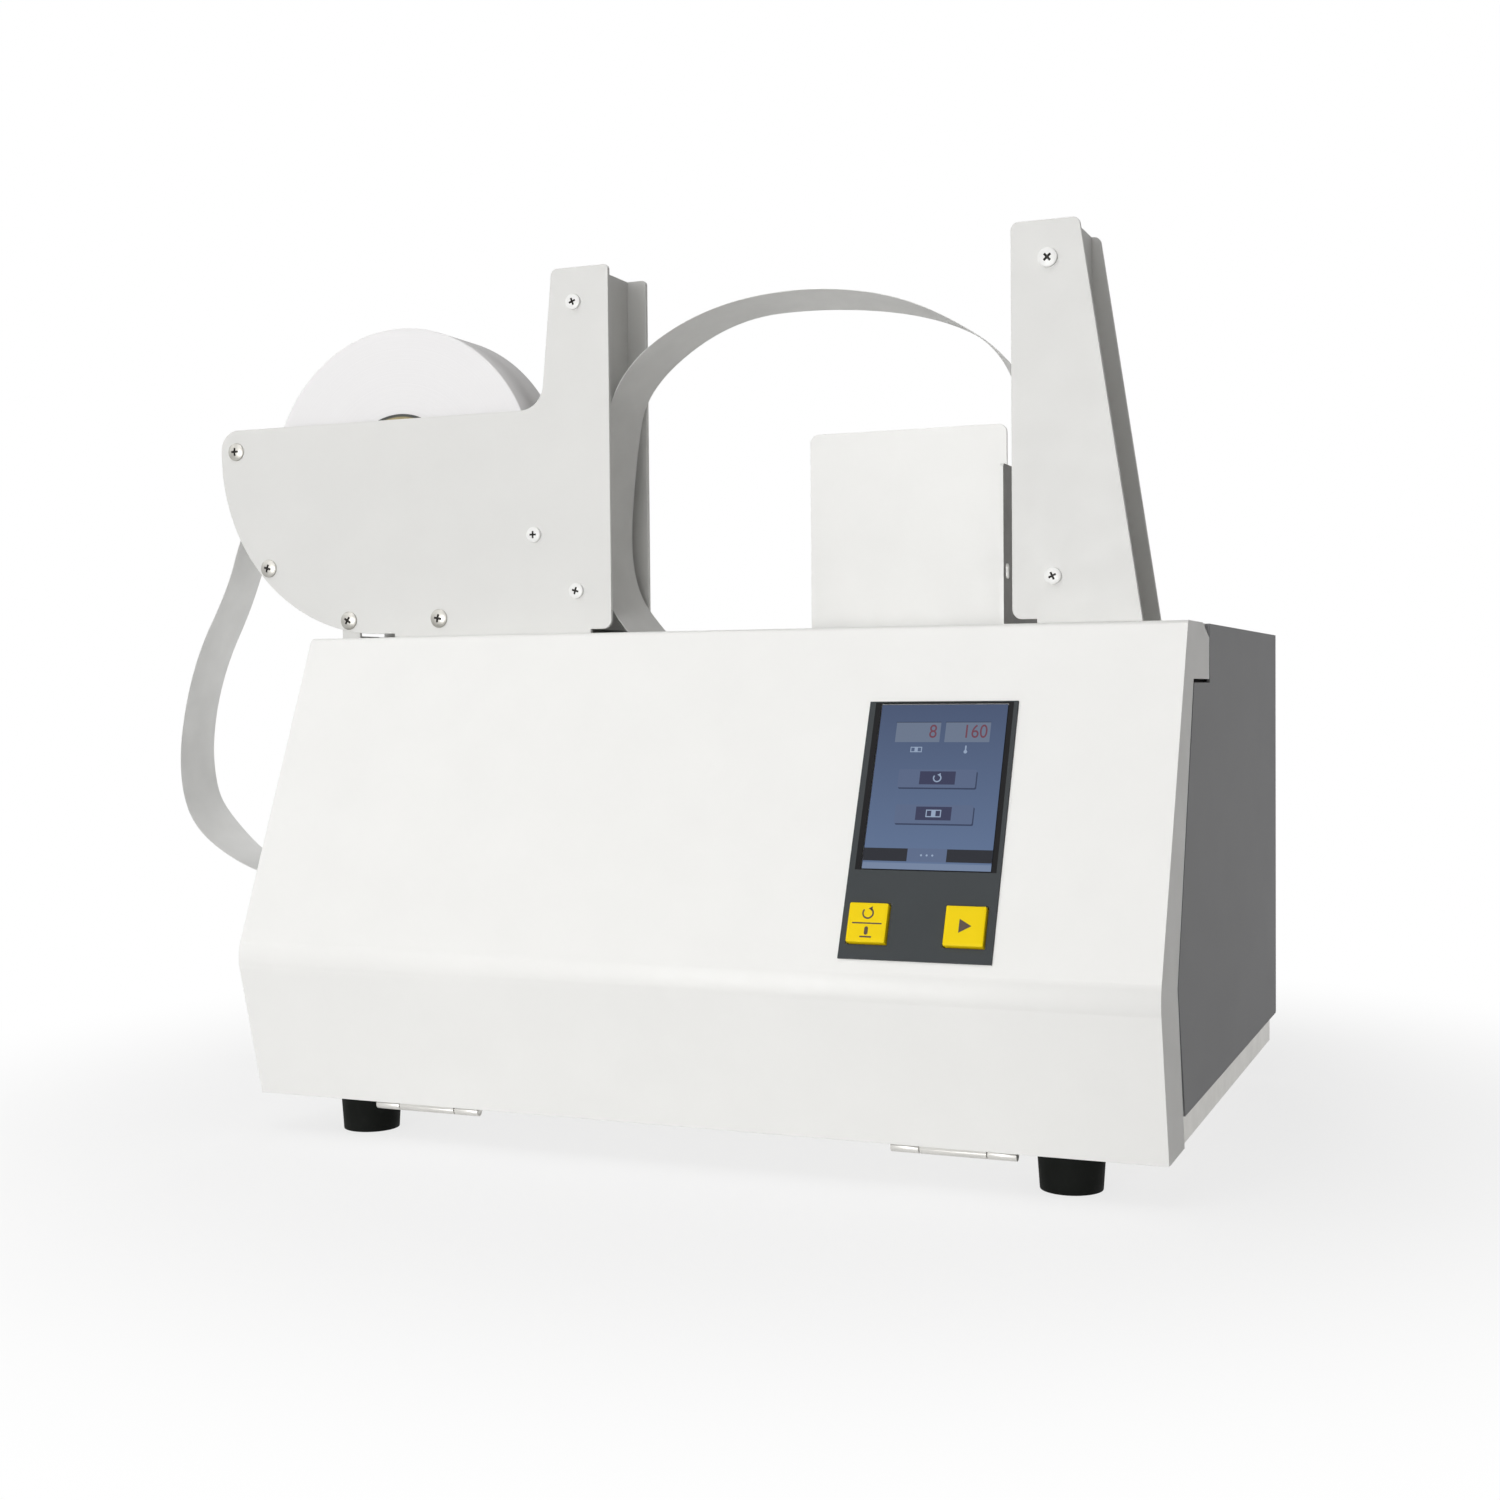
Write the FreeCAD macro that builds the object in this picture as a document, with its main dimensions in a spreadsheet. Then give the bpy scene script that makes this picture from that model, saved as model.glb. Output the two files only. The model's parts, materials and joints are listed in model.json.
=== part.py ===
import FreeCAD, Part
import math
import os
import re

import Sketcher

# Banknote strapping machine, in millimetres.
# +X is the operator's right, +Y points to the back, +Z is up.
# The origin is the centre of the four feet, on the table.

SIZES = {
    # housing
    "width": 390.0,
    "deck_top": 213.0,
    "front_edge": -105.0,
    "bend_reach": 57.5,
    "bend_drop": 135.0,
    "bend_radius": 18.0,
    "cover_foot_reach": 41.5,
    "cover_bottom": 16.4,
    "rear_edge": 141.5,
    "shell_bottom": 28.0,
    "shell_chamfer": 3.5,
    "sheet": 1.5,
    "seam": 1.4,
    "lip_depth": 12.0,
    "tab_depth": 47.0,
    "tab_height": 22.0,
    "tab_chamfer": 5.5,
    "flange_top": 11.0,
    "flange_bottom": 31.0,
    "foot_height": 16.0,
    "base": 2.0,
    "base_wall": 14.0,
    "base_inset": 12.0,
    "foot_radius": 13.0,
    "foot_taper": 1.1,
    "foot_x": 154.3,
    "foot_front": 123.8,
    "foot_rear": 112.0,
    "fit_gap": 0.3,
    "running_gap": 0.05,
    "deck_wall": 14.0,
    "slot_width": 16.0,
    # back wall
    "inlet_x": 140.0,
    "inlet_z": 66.0,
    "inlet_width": 27.4,
    "inlet_height": 20.4,
    "switch_x": 100.0,
    "switch_width": 13.2,
    "switch_height": 19.6,
    "rocker_tilt": 9.0,
    "inlet_flange": 3.0,
    "inlet_flange_depth": 2.0,
    "inlet_wall": 1.5,
    "inlet_depth": 18.0,
    "inlet_socket": 15.0,
    "inlet_pin_pitch": 7.0,
    "switch_flange": 1.5,
    "switch_depth": 14.0,
    "vent_x": -140.0,
    "vent_z": 70.0,
    "vent_length": 90.0,
    "vent_pitch": 9.0,
    "vent": 3.0,
    # cover hinges
    "hinge_x": 114.0,
    "hinge_length": 49.0,
    "knuckle_side": 11.5,
    "knuckle_radius": 2.0,
    "hinge_pin_radius": 1.1,
    "hinge_drop": 1.5,
    "hinge_leaf": 16.0,
    "base_leaf": 8.0,
    "leaf_sheet": 1.2,
    # towers and roll holder
    "plate_front": -86.0,
    "channel": 36.0,
    "plate": 2.0,
    "plate_lift": 2.3,
    "plate_relief": 10.0,
    "holder_foot": 99.0,
    "tower_top": 371.5,
    "left_tower_right": -54.5,
    "left_tower_left": -81.8,
    "left_tower_neck": -87.5,
    "holder_overhang": 61.8,
    "holder_top": 311.5,
    "holder_round": 85.0,
    "left_web_x": -65.0,
    "right_tower_left": 122.5,
    "right_tower_top_right": 149.8,
    "right_tower_foot_right": 174.3,
    "right_web_x": 145.0,
    "web_flange": 13.0,
    "tab_drop": 26.0,
    "screw_head": 1.6,
    "tower_screw": 3.4,
    "rod_screw": 4.6,
    "spindle_screw": 5.5,
    "rod_radius": 4.0,
    "bracket_height": 14.0,
    "bracket_foot": 16.0,
    # tape
    "tape_width": 30.0,
    "tape": 0.4,
    "roll_inset": 32.4,
    "roll_height": 284.6,
    "roll_radius": 68.4,
    "core_radius": 27.0,
    "core_wall": 3.0,
    "spindle_radius": 6.0,
    "hub_inset": 10.0,
    "hub_wall": 4.0,
    "feed_line": 102.0,
    "arch_left_slot": -47.0,
    "arch_right_slot": 117.0,
    "arch_middle": 35.0,
    "arch_top": 353.8,
    # control panel
    "panel_left": 74.0,
    "panel_width": 59.4,
    "panel_start": 32.6,
    "panel_end": 136.4,
    "panel": 0.8,
    "screen_depth": 9.0,
    "screen_rim": 4.0,
    "screen_left": 79.1,
    "screen_width": 50.3,
    "screen_start": 34.0,
    "screen_end": 100.9,
    "key": 15.4,
    "key_left_x": 76.9,
    "key_right_x": 114.5,
    "key_start": 114.9,
    "key_height": 2.2,
    "key_gap": 0.4,
    "key_travel": 0.8,
    "key_rim": 1.0,
    "key_rim_reach": 1.4,
    "key_seat": 0.2,
    "key_pocket": 7.0,
    # stops on the deck
    "stop_left": 5.0,
    "stop_right": 97.5,
    "stop_y": 1.0,
    "stop_height": 92.0,
    "stop_travel": 20.0,
    "guide_x": 99.0,
    "guide_height": 72.5,
    "guide_depth": 17.7,
    "guide_ear": 12.0,
    "guide_slot_height": 14.0,
    "guide_slot_width": 4.0,
    "stop_foot": 18.0,
    "stop_screw_radius": 1.5,
    "stop_screw_head": 3.2,
    "stop_nut": 6.4,
    # mechanism under the deck
    "drive_plate": 3.0,
    "plate_flange": 16.0,
    "gear_width": 3.5,
    "gear_gap": 0.6,
    "gear_module": 1.25,
    "feed_teeth": 24.0,
    "cam_teeth": 40.0,
    "pinion_teeth": 16.0,
    "backlash": 0.12,
    "bush_proud": 1.5,
    "chute_gap": 2.5,
    "chute_sheet": 1.0,
    "feed_inset": 47.0,
    "feed_roller_radius": 12.0,
    "pinch_roller_radius": 10.0,
    "shaft_radius": 3.0,
    "bush_radius": 6.0,
    "cam_x": 35.0,
    "cam_drop": 101.0,
    "cam_base": 12.0,
    "cam_lift": 8.0,
    "cam_turn": 150.0,
    "cam_width": 9.0,
    "follower_gap": 0.45,
    "motor_radius": 18.0,
    "motor_length": 52.0,
    "motor_shaft": 2.5,
    "motor_bore": 14.0,
    # sealing press
    "anvil": 6.0,
    "anvil_width": 64.0,
    "head_width": 28.0,
    "head_height": 15.0,
    "head_rise": 1.0,
    "stem_width": 26.0,
    "ear_width": 60.0,
    "ear_depth": 14.0,
    "ear_height": 12.0,
    "ear_drop": 46.0,
    "rod_reach": 24.0,
    "rod_length": 56.0,
    "guide": 4.0,
    "guide_drop": 60.0,
    "blade": 1.2,
    "blade_height": 21.0,
    # power supply and board
    "supply_x": -150.0,
    "supply_y": 20.0,
    "supply_length": 110.0,
    "supply_width": 92.0,
    "supply_height": 42.0,
    "supply_sheet": 1.0,
    "supply_slots": 8.0,
    "supply_slot": 4.0,
    "board_y": 22.0,
    "board_length": 100.0,
    "board_width": 70.0,
    "board": 1.6,
    "board_lift": 8.0,
}

doc = FreeCAD.newDocument("strapping_machine")
sheet = doc.addObject("Spreadsheet::Sheet", "sizes")
for row, (alias, value) in enumerate(SIZES.items(), start=1):
    sheet.set("A%d" % row, alias)
    sheet.set("B%d" % row, str(value))
    sheet.setAlias("B%d" % row, alias)
doc.recompute()

parts = []


# ---------- helpers ----------

def qualify(expression):
    """Point every size name of an expression at the sheet."""
    def prefix(match):
        word = match.group()
        return "sizes." + word if word in SIZES else word
    return re.sub(r"[a-z_][a-z0-9_]*", prefix, str(expression))


def number(expression):
    """The value of an expression, as a plain number."""
    value = sheet.evalExpression(qualify(expression))
    return float(getattr(value, "Value", value))


def bind(item, prop, expression):
    item.setExpression(prop, qualify(expression))


def keep(item, name):
    """Make an object a sub-part: its Label is its node name."""
    item.Label = name
    parts.append(item)
    return item


def place(item, x, y, z):
    for axis, expression in zip("xyz", (x, y, z)):
        bind(item, "Placement.Base." + axis, expression)
    return item


def box(x, y, z, length, width, height):
    """A box from its lowest corner and its three sides."""
    item = doc.addObject("Part::Box", "Box")
    bind(item, "Length", length)
    bind(item, "Width", width)
    bind(item, "Height", height)
    return place(item, x, y, z)


TURN = {
    "X": FreeCAD.Rotation(FreeCAD.Vector(0, 1, 0), 90),
    "Y": FreeCAD.Rotation(FreeCAD.Vector(1, 0, 0), -90),
    "Z": FreeCAD.Rotation(),
}


def cylinder(axis, x, y, z, radius, length):
    """A cylinder that starts at a point and runs along +X, +Y or +Z."""
    item = doc.addObject("Part::Cylinder", "Cylinder")
    bind(item, "Radius", radius)
    bind(item, "Height", length)
    item.Placement.Rotation = TURN[axis]
    return place(item, x, y, z)


def cone(axis, x, y, z, start, end, length):
    item = doc.addObject("Part::Cone", "Cone")
    bind(item, "Radius1", start)
    bind(item, "Radius2", end)
    bind(item, "Height", length)
    item.Placement.Rotation = TURN[axis]
    return place(item, x, y, z)


def cut(base, *tools):
    item = doc.addObject("Part::Cut", "Cut")
    item.Base = base
    item.Tool = tools[0] if len(tools) == 1 else fuse(*tools)
    return item


def fuse(*items):
    item = doc.addObject("Part::MultiFuse", "Fuse")
    item.Shapes = list(items)
    return item


def group(*items):
    """Separate solids that share one node."""
    item = doc.addObject("Part::Compound", "Group")
    item.Links = list(items)
    return item


def outline(body, plane, offset, points, circles=()):
    """A sketch of straight runs and round holes, its every point bound to the sheet."""
    sketch = body.newObject("Sketcher::SketchObject", "Sketch")
    support = [item for item in body.Origin.OriginFeatures if item.Role == plane][0]
    sketch.AttachmentSupport = [(support, "")]
    sketch.MapMode = "FlatFace"
    bind(sketch, "AttachmentOffset.Base.z", offset)
    spots = [FreeCAD.Vector(number(a), number(b), 0) for a, b in points]
    count = len(spots)
    for index in range(count):
        sketch.addGeometry(Part.LineSegment(spots[index], spots[(index + 1) % count]), False)
    for index in range(count):
        sketch.addConstraint(Sketcher.Constraint("Coincident", index, 2, (index + 1) % count, 1))
        for kind, value in zip(("DistanceX", "DistanceY"), points[index]):
            which = sketch.addConstraint(Sketcher.Constraint(kind, index, 1, number(value)))
            sketch.setExpression("Constraints[%d]" % which, qualify(value))
    for a, b, radius in circles:
        add_circle(sketch, a, b, radius)
    return sketch


def add_circle(sketch, a, b, radius):
    centre = FreeCAD.Vector(number(a), number(b), 0)
    ring = sketch.addGeometry(Part.Circle(centre, FreeCAD.Vector(0, 0, 1), number(radius)), False)
    for kind, value in zip(("DistanceX", "DistanceY"), (a, b)):
        which = sketch.addConstraint(Sketcher.Constraint(kind, ring, 3, number(value)))
        sketch.setExpression("Constraints[%d]" % which, qualify(value))
    which = sketch.addConstraint(Sketcher.Constraint("Radius", ring, number(radius)))
    sketch.setExpression("Constraints[%d]" % which, qualify(radius))


def pad(body, sketch, length, reverse=False):
    feature = body.newObject("PartDesign::Pad", "Pad")
    feature.Profile = sketch
    bind(feature, "Length", length)
    feature.Reversed = reverse
    doc.recompute()
    return feature


def round_edges(body, corners):
    """Round the edges whose middle is nearest to each point, one radius at a time."""
    for point, radius in corners:
        spot = FreeCAD.Vector(*[number(value) for value in point])
        tip = body.Tip
        edges = tip.Shape.Edges
        gaps = [edge.CenterOfMass.distanceToPoint(spot) for edge in edges]
        nearest = gaps.index(min(gaps)) + 1
        feature = body.newObject("PartDesign::Fillet", "Fillet")
        feature.Base = (tip, ["Edge%d" % nearest])
        bind(feature, "Radius", radius)
        doc.recompute()


def shape_part(name, shape):
    """A sub-part whose form is worked out in code."""
    item = doc.addObject("Part::Feature", "Form")
    item.Shape = shape
    item.Placement = FreeCAD.Placement()
    return keep(item, name)


# ---------- shared places ----------

LEFT_WALL = "-width / 2"
RIGHT_WALL = "width / 2"
BEND_Y = "(front_edge - bend_reach)"
BEND_Z = "(deck_top - bend_drop)"
COVER_FOOT_Y = "(front_edge - cover_foot_reach)"
FLANGE_AT_BEND = f"({BEND_Y} + flange_bottom + 2)"
FLANGE_AT_FOOT = f"({COVER_FOOT_Y} + flange_bottom)"
TAB_REAR = "(front_edge + tab_depth)"
TAB_FOOT = "(deck_top - tab_height)"
INNER_LEFT = "(-width / 2 + sheet + fit_gap)"
INNER_WIDTH = "(width - 2 * sheet - 2 * fit_gap)"
INNER_REAR = "(rear_edge - sheet - fit_gap)"
DECK_FRONT = "(front_edge + lip_depth + fit_gap)"
DECK_UNDER = "(deck_top - sheet)"
BASE_TOP = "(foot_height + base)"

SLOPE_RISE = "bend_drop"
SLOPE_LENGTH = f"sqrt(bend_reach ^ 2 + {SLOPE_RISE} ^ 2)"
INNER_SHIFT = f"(sheet * {SLOPE_LENGTH} / {SLOPE_RISE})"

CHANNEL_BACK = "(plate_front + 2 * plate + channel)"
TAPE_FRONT = "(plate_front + plate + (channel - tape_width) / 2)"
PLATE_FOOT = "(deck_top + plate_lift)"
ROLL_X = "(-width / 2 + roll_inset)"

PIN_Y = f"({COVER_FOOT_Y} + {INNER_SHIFT} + fit_gap + knuckle_radius)"
PIN_Z = "(cover_bottom - hinge_drop)"
BASE_FRONT = f"({PIN_Y} + knuckle_radius + 1)"


# ---------- housing ----------

def make_front_cover():
    """Folded sheet: sloped face, lower face, top lip and two side flanges with a tab."""
    body = doc.addObject("PartDesign::Body", "Body")
    side = outline(body, "YZ_Plane", "0", [
        ("front_edge", "deck_top"),
        (BEND_Y, BEND_Z),
        (COVER_FOOT_Y, "cover_bottom"),
        (FLANGE_AT_FOOT, "cover_bottom"),
        (FLANGE_AT_BEND, BEND_Z),
        ("front_edge + flange_top", TAB_FOOT),
        (TAB_REAR, TAB_FOOT),
        (TAB_REAR, "deck_top - tab_chamfer"),
        (f"{TAB_REAR} - 2.6 * tab_chamfer", "deck_top"),
    ])
    block = pad(body, side, "width")
    block.Midplane = True
    inside = outline(body, "YZ_Plane", "0", [
        ("front_edge + lip_depth", "deck_top + 5"),
        ("front_edge + lip_depth", DECK_UNDER),
        (f"front_edge + {INNER_SHIFT} - sheet * bend_reach / {SLOPE_RISE}", DECK_UNDER),
        (f"{BEND_Y} + {INNER_SHIFT}", BEND_Z),
        (f"{COVER_FOOT_Y} + {INNER_SHIFT}", "cover_bottom - 5"),
        (f"{TAB_REAR} + 5", "cover_bottom - 5"),
        (f"{TAB_REAR} + 5", "deck_top + 5"),
    ])
    hollow = body.newObject("PartDesign::Pocket", "Pocket")
    hollow.Profile = inside
    hollow.Midplane = True
    bind(hollow, "Length", "width - 2 * sheet")
    doc.recompute()
    round_edges(body, [
        (("0", BEND_Y, BEND_Z), "bend_radius"),
        (("0", f"{BEND_Y} + {INNER_SHIFT}", BEND_Z), "bend_radius - sheet"),
        (("0", "front_edge", "deck_top"), "1.5 * sheet"),
    ])
    openings = [panel_box(place_x, "key_start", "key_start + key", "-5", "key", "10", "key_gap")
                for place_x in ("key_left_x", "key_right_x")]
    window = panel_box("screen_left", "screen_start", "screen_end", "-5", "screen_width", "10", "key_gap")
    return keep(cut(body, window, *openings), "front_cover")


def on_panel(item, x, along, out):
    """Lay an object on the sloped face: its own Y runs up the slope and its Z points out."""
    item.Placement.Rotation = FreeCAD.Rotation(FreeCAD.Vector(1, 0, 0), 60)
    bind(item, "Placement.Rotation.Angle", f"atan2({SLOPE_RISE}; bend_reach)")
    bind(item, "Placement.Base.x", x)
    bind(item, "Placement.Base.y",
         f"front_edge - ({along}) * bend_reach / {SLOPE_LENGTH} - ({out}) * {SLOPE_RISE} / {SLOPE_LENGTH}")
    bind(item, "Placement.Base.z",
         f"deck_top - ({along}) * {SLOPE_RISE} / {SLOPE_LENGTH} + ({out}) * bend_reach / {SLOPE_LENGTH}")
    return item


def panel_box(x, start, end, out, length, height, margin="0"):
    """A box on the sloped face, from `start` down to `end` along the slope."""
    item = doc.addObject("Part::Box", "Box")
    bind(item, "Length", f"{length} + 2 * ({margin})")
    bind(item, "Width", f"{end} - ({start}) + 2 * ({margin})")
    bind(item, "Height", height)
    return on_panel(item, f"{x} - ({margin})", f"{end} + ({margin})", out)


def make_side_shell():
    """Dark wrap of left wall, back wall and right wall, cut to the cover's outline."""
    body = doc.addObject("PartDesign::Body", "Body")
    side = outline(body, "YZ_Plane", "0", [
        (f"{TAB_REAR} + seam", "deck_top"),
        (f"{TAB_REAR} + seam", f"{TAB_FOOT} - seam"),
        ("front_edge + flange_top + seam", f"{TAB_FOOT} - seam"),
        (f"{FLANGE_AT_BEND} + seam", BEND_Z),
        (f"{FLANGE_AT_FOOT} + seam", "shell_bottom"),
        ("rear_edge - shell_chamfer", "shell_bottom"),
        ("rear_edge", "shell_bottom + shell_chamfer"),
        ("rear_edge", "deck_top"),
    ])
    block = pad(body, side, "width")
    block.Midplane = True
    inside = outline(body, "YZ_Plane", "0", [
        (f"{BEND_Y} - 5", "shell_bottom - 5"),
        ("rear_edge - sheet", "shell_bottom - 5"),
        ("rear_edge - sheet", "deck_top + 5"),
        (f"{BEND_Y} - 5", "deck_top + 5"),
    ])
    hollow = body.newObject("PartDesign::Pocket", "Pocket")
    hollow.Profile = inside
    hollow.Midplane = True
    bind(hollow, "Length", "width - 2 * sheet")
    doc.recompute()
    round_edges(body, [
        ((LEFT_WALL, "rear_edge", "(deck_top + shell_bottom) / 2"), "2 * sheet"),
        ((RIGHT_WALL, "rear_edge", "(deck_top + shell_bottom) / 2"), "2 * sheet"),
    ])
    tape_slot = box(f"{LEFT_WALL} - 5", f"{TAPE_FRONT} - 4", "feed_line - 8", "10", "tape_width + 8", "18")
    inlet_hole = box("inlet_x - inlet_width / 2", "rear_edge - 5", "inlet_z - inlet_height / 2",
                     "inlet_width", "10", "inlet_height")
    switch_hole = box("switch_x - switch_width / 2", "rear_edge - 5", "inlet_z - switch_height / 2",
                      "switch_width", "10", "switch_height")
    vents = [box("vent_x", "rear_edge - 5", f"vent_z + {row} * vent_pitch", "vent_length", "10", "vent")
             for row in range(7)]
    return keep(cut(body, tape_slot, inlet_hole, switch_hole, *vents), "side_shell")


def make_base_tray():
    outer = box(INNER_LEFT, BASE_FRONT, "foot_height", INNER_WIDTH,
                f"rear_edge - base_inset - {BASE_FRONT}", "base + base_wall")
    inner = box(f"{INNER_LEFT} + sheet", f"{BASE_FRONT} + sheet", BASE_TOP, f"{INNER_WIDTH} - 2 * sheet",
                f"rear_edge - base_inset - {BASE_FRONT} - 2 * sheet", "base_wall + 1")
    return keep(cut(outer, inner), "base_tray")


def make_feet():
    """Four tapered rubber feet."""
    feet = [cone("Z", x, y, "0", "foot_radius - foot_taper", "foot_radius", "foot_height")
            for x in ("-foot_x", "foot_x") for y in ("-foot_front", "foot_rear")]
    keep(group(*feet), "rubber_feet")


def make_deck():
    """Work surface: a lid with turned-down edges and the slots that the tape comes through."""
    length = f"{INNER_REAR} - {DECK_FRONT}"
    outer = box(INNER_LEFT, DECK_FRONT, "deck_top - deck_wall", INNER_WIDTH, length, "deck_wall")
    inner = box(f"{INNER_LEFT} + sheet", f"{DECK_FRONT} + sheet", "deck_top - deck_wall - 1",
                f"{INNER_WIDTH} - 2 * sheet", f"{length} - 2 * sheet", "deck_wall - sheet + 1")
    cuts = [inner]
    for x in ("arch_left_slot", "arch_right_slot"):
        cuts.append(box(f"{x} - slot_width / 2", f"{TAPE_FRONT} - 3", "deck_top - 10",
                        "slot_width", "tape_width + 6", "20"))
    for x, width in TOWER_TABS:
        cuts.append(box(f"{x} - 1", f"{CHANNEL_BACK} - plate - 1", "deck_top - 10",
                        f"{width} + 2", "plate + 2", "20"))
    for x in STOP_SCREWS:
        half = "(stop_screw_radius + 0.7)"
        cuts.append(box(f"{x} - {half}", f"{STOP_SCREW_Y} - stop_travel - {half}", "deck_top - 10",
                        f"2 * {half}", f"2 * stop_travel + 2 * {half}", "20"))
    return keep(cut(outer, *cuts), "work_deck")


TOWER_TABS = [
    (f"{LEFT_WALL} + 6", "18"),
    ("left_tower_neck + 4", "16"),
    ("right_tower_left + 10", "24"),
]
STOP_SCREWS = ("stop_left + 14", "stop_right - 22")
STOP_SCREW_Y = "(stop_y + stop_foot / 2)"


def make_hinges():
    """Two three-knuckle hinges under the cover's bottom edge."""
    pins = []
    for name, side in (("left", -1), ("right", 1)):
        start = f"({side} * hinge_x - hinge_length / 2)"
        middle = f"({start} + knuckle_side)"
        middle_length = "(hinge_length - 2 * knuckle_side)"
        end = f"({start} + hinge_length - knuckle_side)"
        bore = cylinder("X", f"{start} - 1", PIN_Y, PIN_Z, "hinge_pin_radius + running_gap", "hinge_length + 2")

        knuckles = [cylinder("X", x, PIN_Y, PIN_Z, "knuckle_radius", "knuckle_side - fit_gap")
                    for x in (start, f"{end} + fit_gap")]
        necks = [box(x, PIN_Y, "foot_height - leaf_sheet", "knuckle_side - fit_gap",
                     f"{BASE_FRONT} + 1 - {PIN_Y}", "leaf_sheet") for x in (start, f"{end} + fit_gap")]
        leaf = box(start, f"{PIN_Y} + knuckle_radius + 1", "foot_height - leaf_sheet",
                   "hinge_length", "base_leaf", "leaf_sheet")
        keep(cut(fuse(*knuckles, *necks, leaf), bore), f"hinge_{name}_base_leaf")

        knuckle = cylinder("X", middle, PIN_Y, PIN_Z, "knuckle_radius", middle_length)
        neck = on_lower_face(middle, "-hinge_drop", middle_length, "hinge_drop + 3")
        cover_leaf = on_lower_face(start, "1.2", "hinge_length", "hinge_leaf")
        bore = cylinder("X", f"{start} - 1", PIN_Y, PIN_Z, "hinge_pin_radius + running_gap", "hinge_length + 2")
        keep(cut(fuse(knuckle, neck, cover_leaf), bore), f"hinge_{name}_cover_leaf")

        pins.append(cylinder("X", start, PIN_Y, PIN_Z, "hinge_pin_radius", "hinge_length"))
    keep(group(*pins), "hinge_pins")


def on_lower_face(x, along, length, height):
    """A flat strip of leaf on the inner side of the cover's lower face, `along` up from its edge."""
    item = doc.addObject("Part::Box", "Box")
    bind(item, "Length", length)
    bind(item, "Width", "leaf_sheet")
    bind(item, "Height", height)
    lean = "(bend_reach - cover_foot_reach)"
    rise = f"({BEND_Z} - cover_bottom)"
    item.Placement.Rotation = FreeCAD.Rotation(FreeCAD.Vector(1, 0, 0), 10)
    bind(item, "Placement.Rotation.Angle", f"atan2({lean}; {rise})")
    bind(item, "Placement.Base.x", x)
    bind(item, "Placement.Base.y",
         f"{COVER_FOOT_Y} + {INNER_SHIFT} - ({along}) * {lean} / {rise}")
    bind(item, "Placement.Base.z", f"cover_bottom + ({along})")
    return item


# ---------- towers and roll holder ----------

def tower_plate(name, front, corners, rounds, tabs):
    """One upright sheet plate. `tabs` reach down through the deck."""
    body = doc.addObject("PartDesign::Body", "Body")
    sketch = outline(body, "XZ_Plane", f"-({front})", corners)
    pad(body, sketch, "plate", reverse=True)
    round_edges(body, [((x, f"{front} + plate / 2", z), radius) for x, z, radius in rounds])
    if not tabs:
        return keep(body, name)
    legs = [box(x, front, "deck_top - tab_drop", width, "plate", "tab_drop + plate_lift + 6") for x, width in tabs]
    return keep(fuse(body, *legs), name)


RODS = [
    ("-width / 2 - holder_overhang + 8.5", "holder_top - 10"),
    (f"{ROLL_X} - 68.4", "deck_top + 33.7"),
]
BRACKET_SCREWS = [
    (f"{ROLL_X} - 25", "deck_top + 8.6"),
    (f"{ROLL_X} + 22.5", "deck_top + 8.6"),
]
LEFT_SCREWS = [
    ("left_tower_right - 16.5", "tower_top - 15"),
    ("left_tower_right - 16.5", "deck_top + 19"),
    ("left_tower_right - 37", "deck_top + 44"),
]
RIGHT_SCREWS = [
    ("right_web_x - 7.5", "tower_top - 15"),
    ("right_web_x - 6", "deck_top + 19"),
]


def make_left_tower():
    """Two parallel plates that hold the paper roll and the left leg of the tape arch."""
    left = f"({LEFT_WALL} - holder_overhang)"
    foot_right = "(left_tower_right - plate_relief)"
    corners = [
        (foot_right, PLATE_FOOT),
        ("left_tower_right", PLATE_FOOT),
        ("left_tower_right", "tower_top"),
        ("left_tower_left", "tower_top"),
        ("left_tower_neck", "holder_top"),
        (left, "holder_top"),
        (left, PLATE_FOOT),
        (f"{foot_right} - holder_foot", PLATE_FOOT),
        (f"{foot_right} - holder_foot", "deck_top"),
        (foot_right, "deck_top"),
    ]
    rounds = [
        ("left_tower_right", "tower_top", "2"),
        ("left_tower_left", "tower_top", "3"),
        ("left_tower_neck", "holder_top", "11"),
        (left, "holder_top", "9"),
        (left, PLATE_FOOT, "holder_round"),
        ("left_tower_right", PLATE_FOOT, "4"),
    ]
    tower_plate("holder_front_plate", "plate_front", corners, rounds, [])
    tower_plate("holder_back_plate", f"({CHANNEL_BACK} - plate)", corners, rounds, TOWER_TABS[:2])


def make_right_tower():
    corners = [
        ("right_tower_foot_right", "deck_top"),
        ("right_tower_top_right", "tower_top"),
        ("right_tower_left", "tower_top"),
        ("right_tower_left", PLATE_FOOT),
        ("right_tower_left + plate_relief", PLATE_FOOT),
        ("right_tower_left + plate_relief", "deck_top"),
    ]
    rounds = [
        ("right_tower_top_right", "tower_top", "3"),
        ("right_tower_left", "tower_top", "3"),
        ("right_tower_left", PLATE_FOOT, "4"),
    ]
    tower_plate("guide_tower_front_plate", "plate_front", corners, rounds, [])
    tower_plate("guide_tower_back_plate", f"({CHANNEL_BACK} - plate)", corners, rounds, TOWER_TABS[2:])


def make_webs():
    """Channel floors: a strip between the plates with a flange on each plate."""
    for name, x in (("holder_web", "left_web_x"), ("guide_tower_web", "right_web_x")):
        height = f"tower_top - {PLATE_FOOT}"
        outer = box(f"{x} - web_flange", "plate_front + plate", PLATE_FOOT, "web_flange + sheet", "channel", height)
        inner = box(f"{x} - web_flange - 1", "plate_front + plate + sheet", f"{PLATE_FOOT} - 1",
                    "web_flange + 1", "channel - 2 * sheet", f"{height} + 2")
        keep(cut(outer, inner), name)


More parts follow.
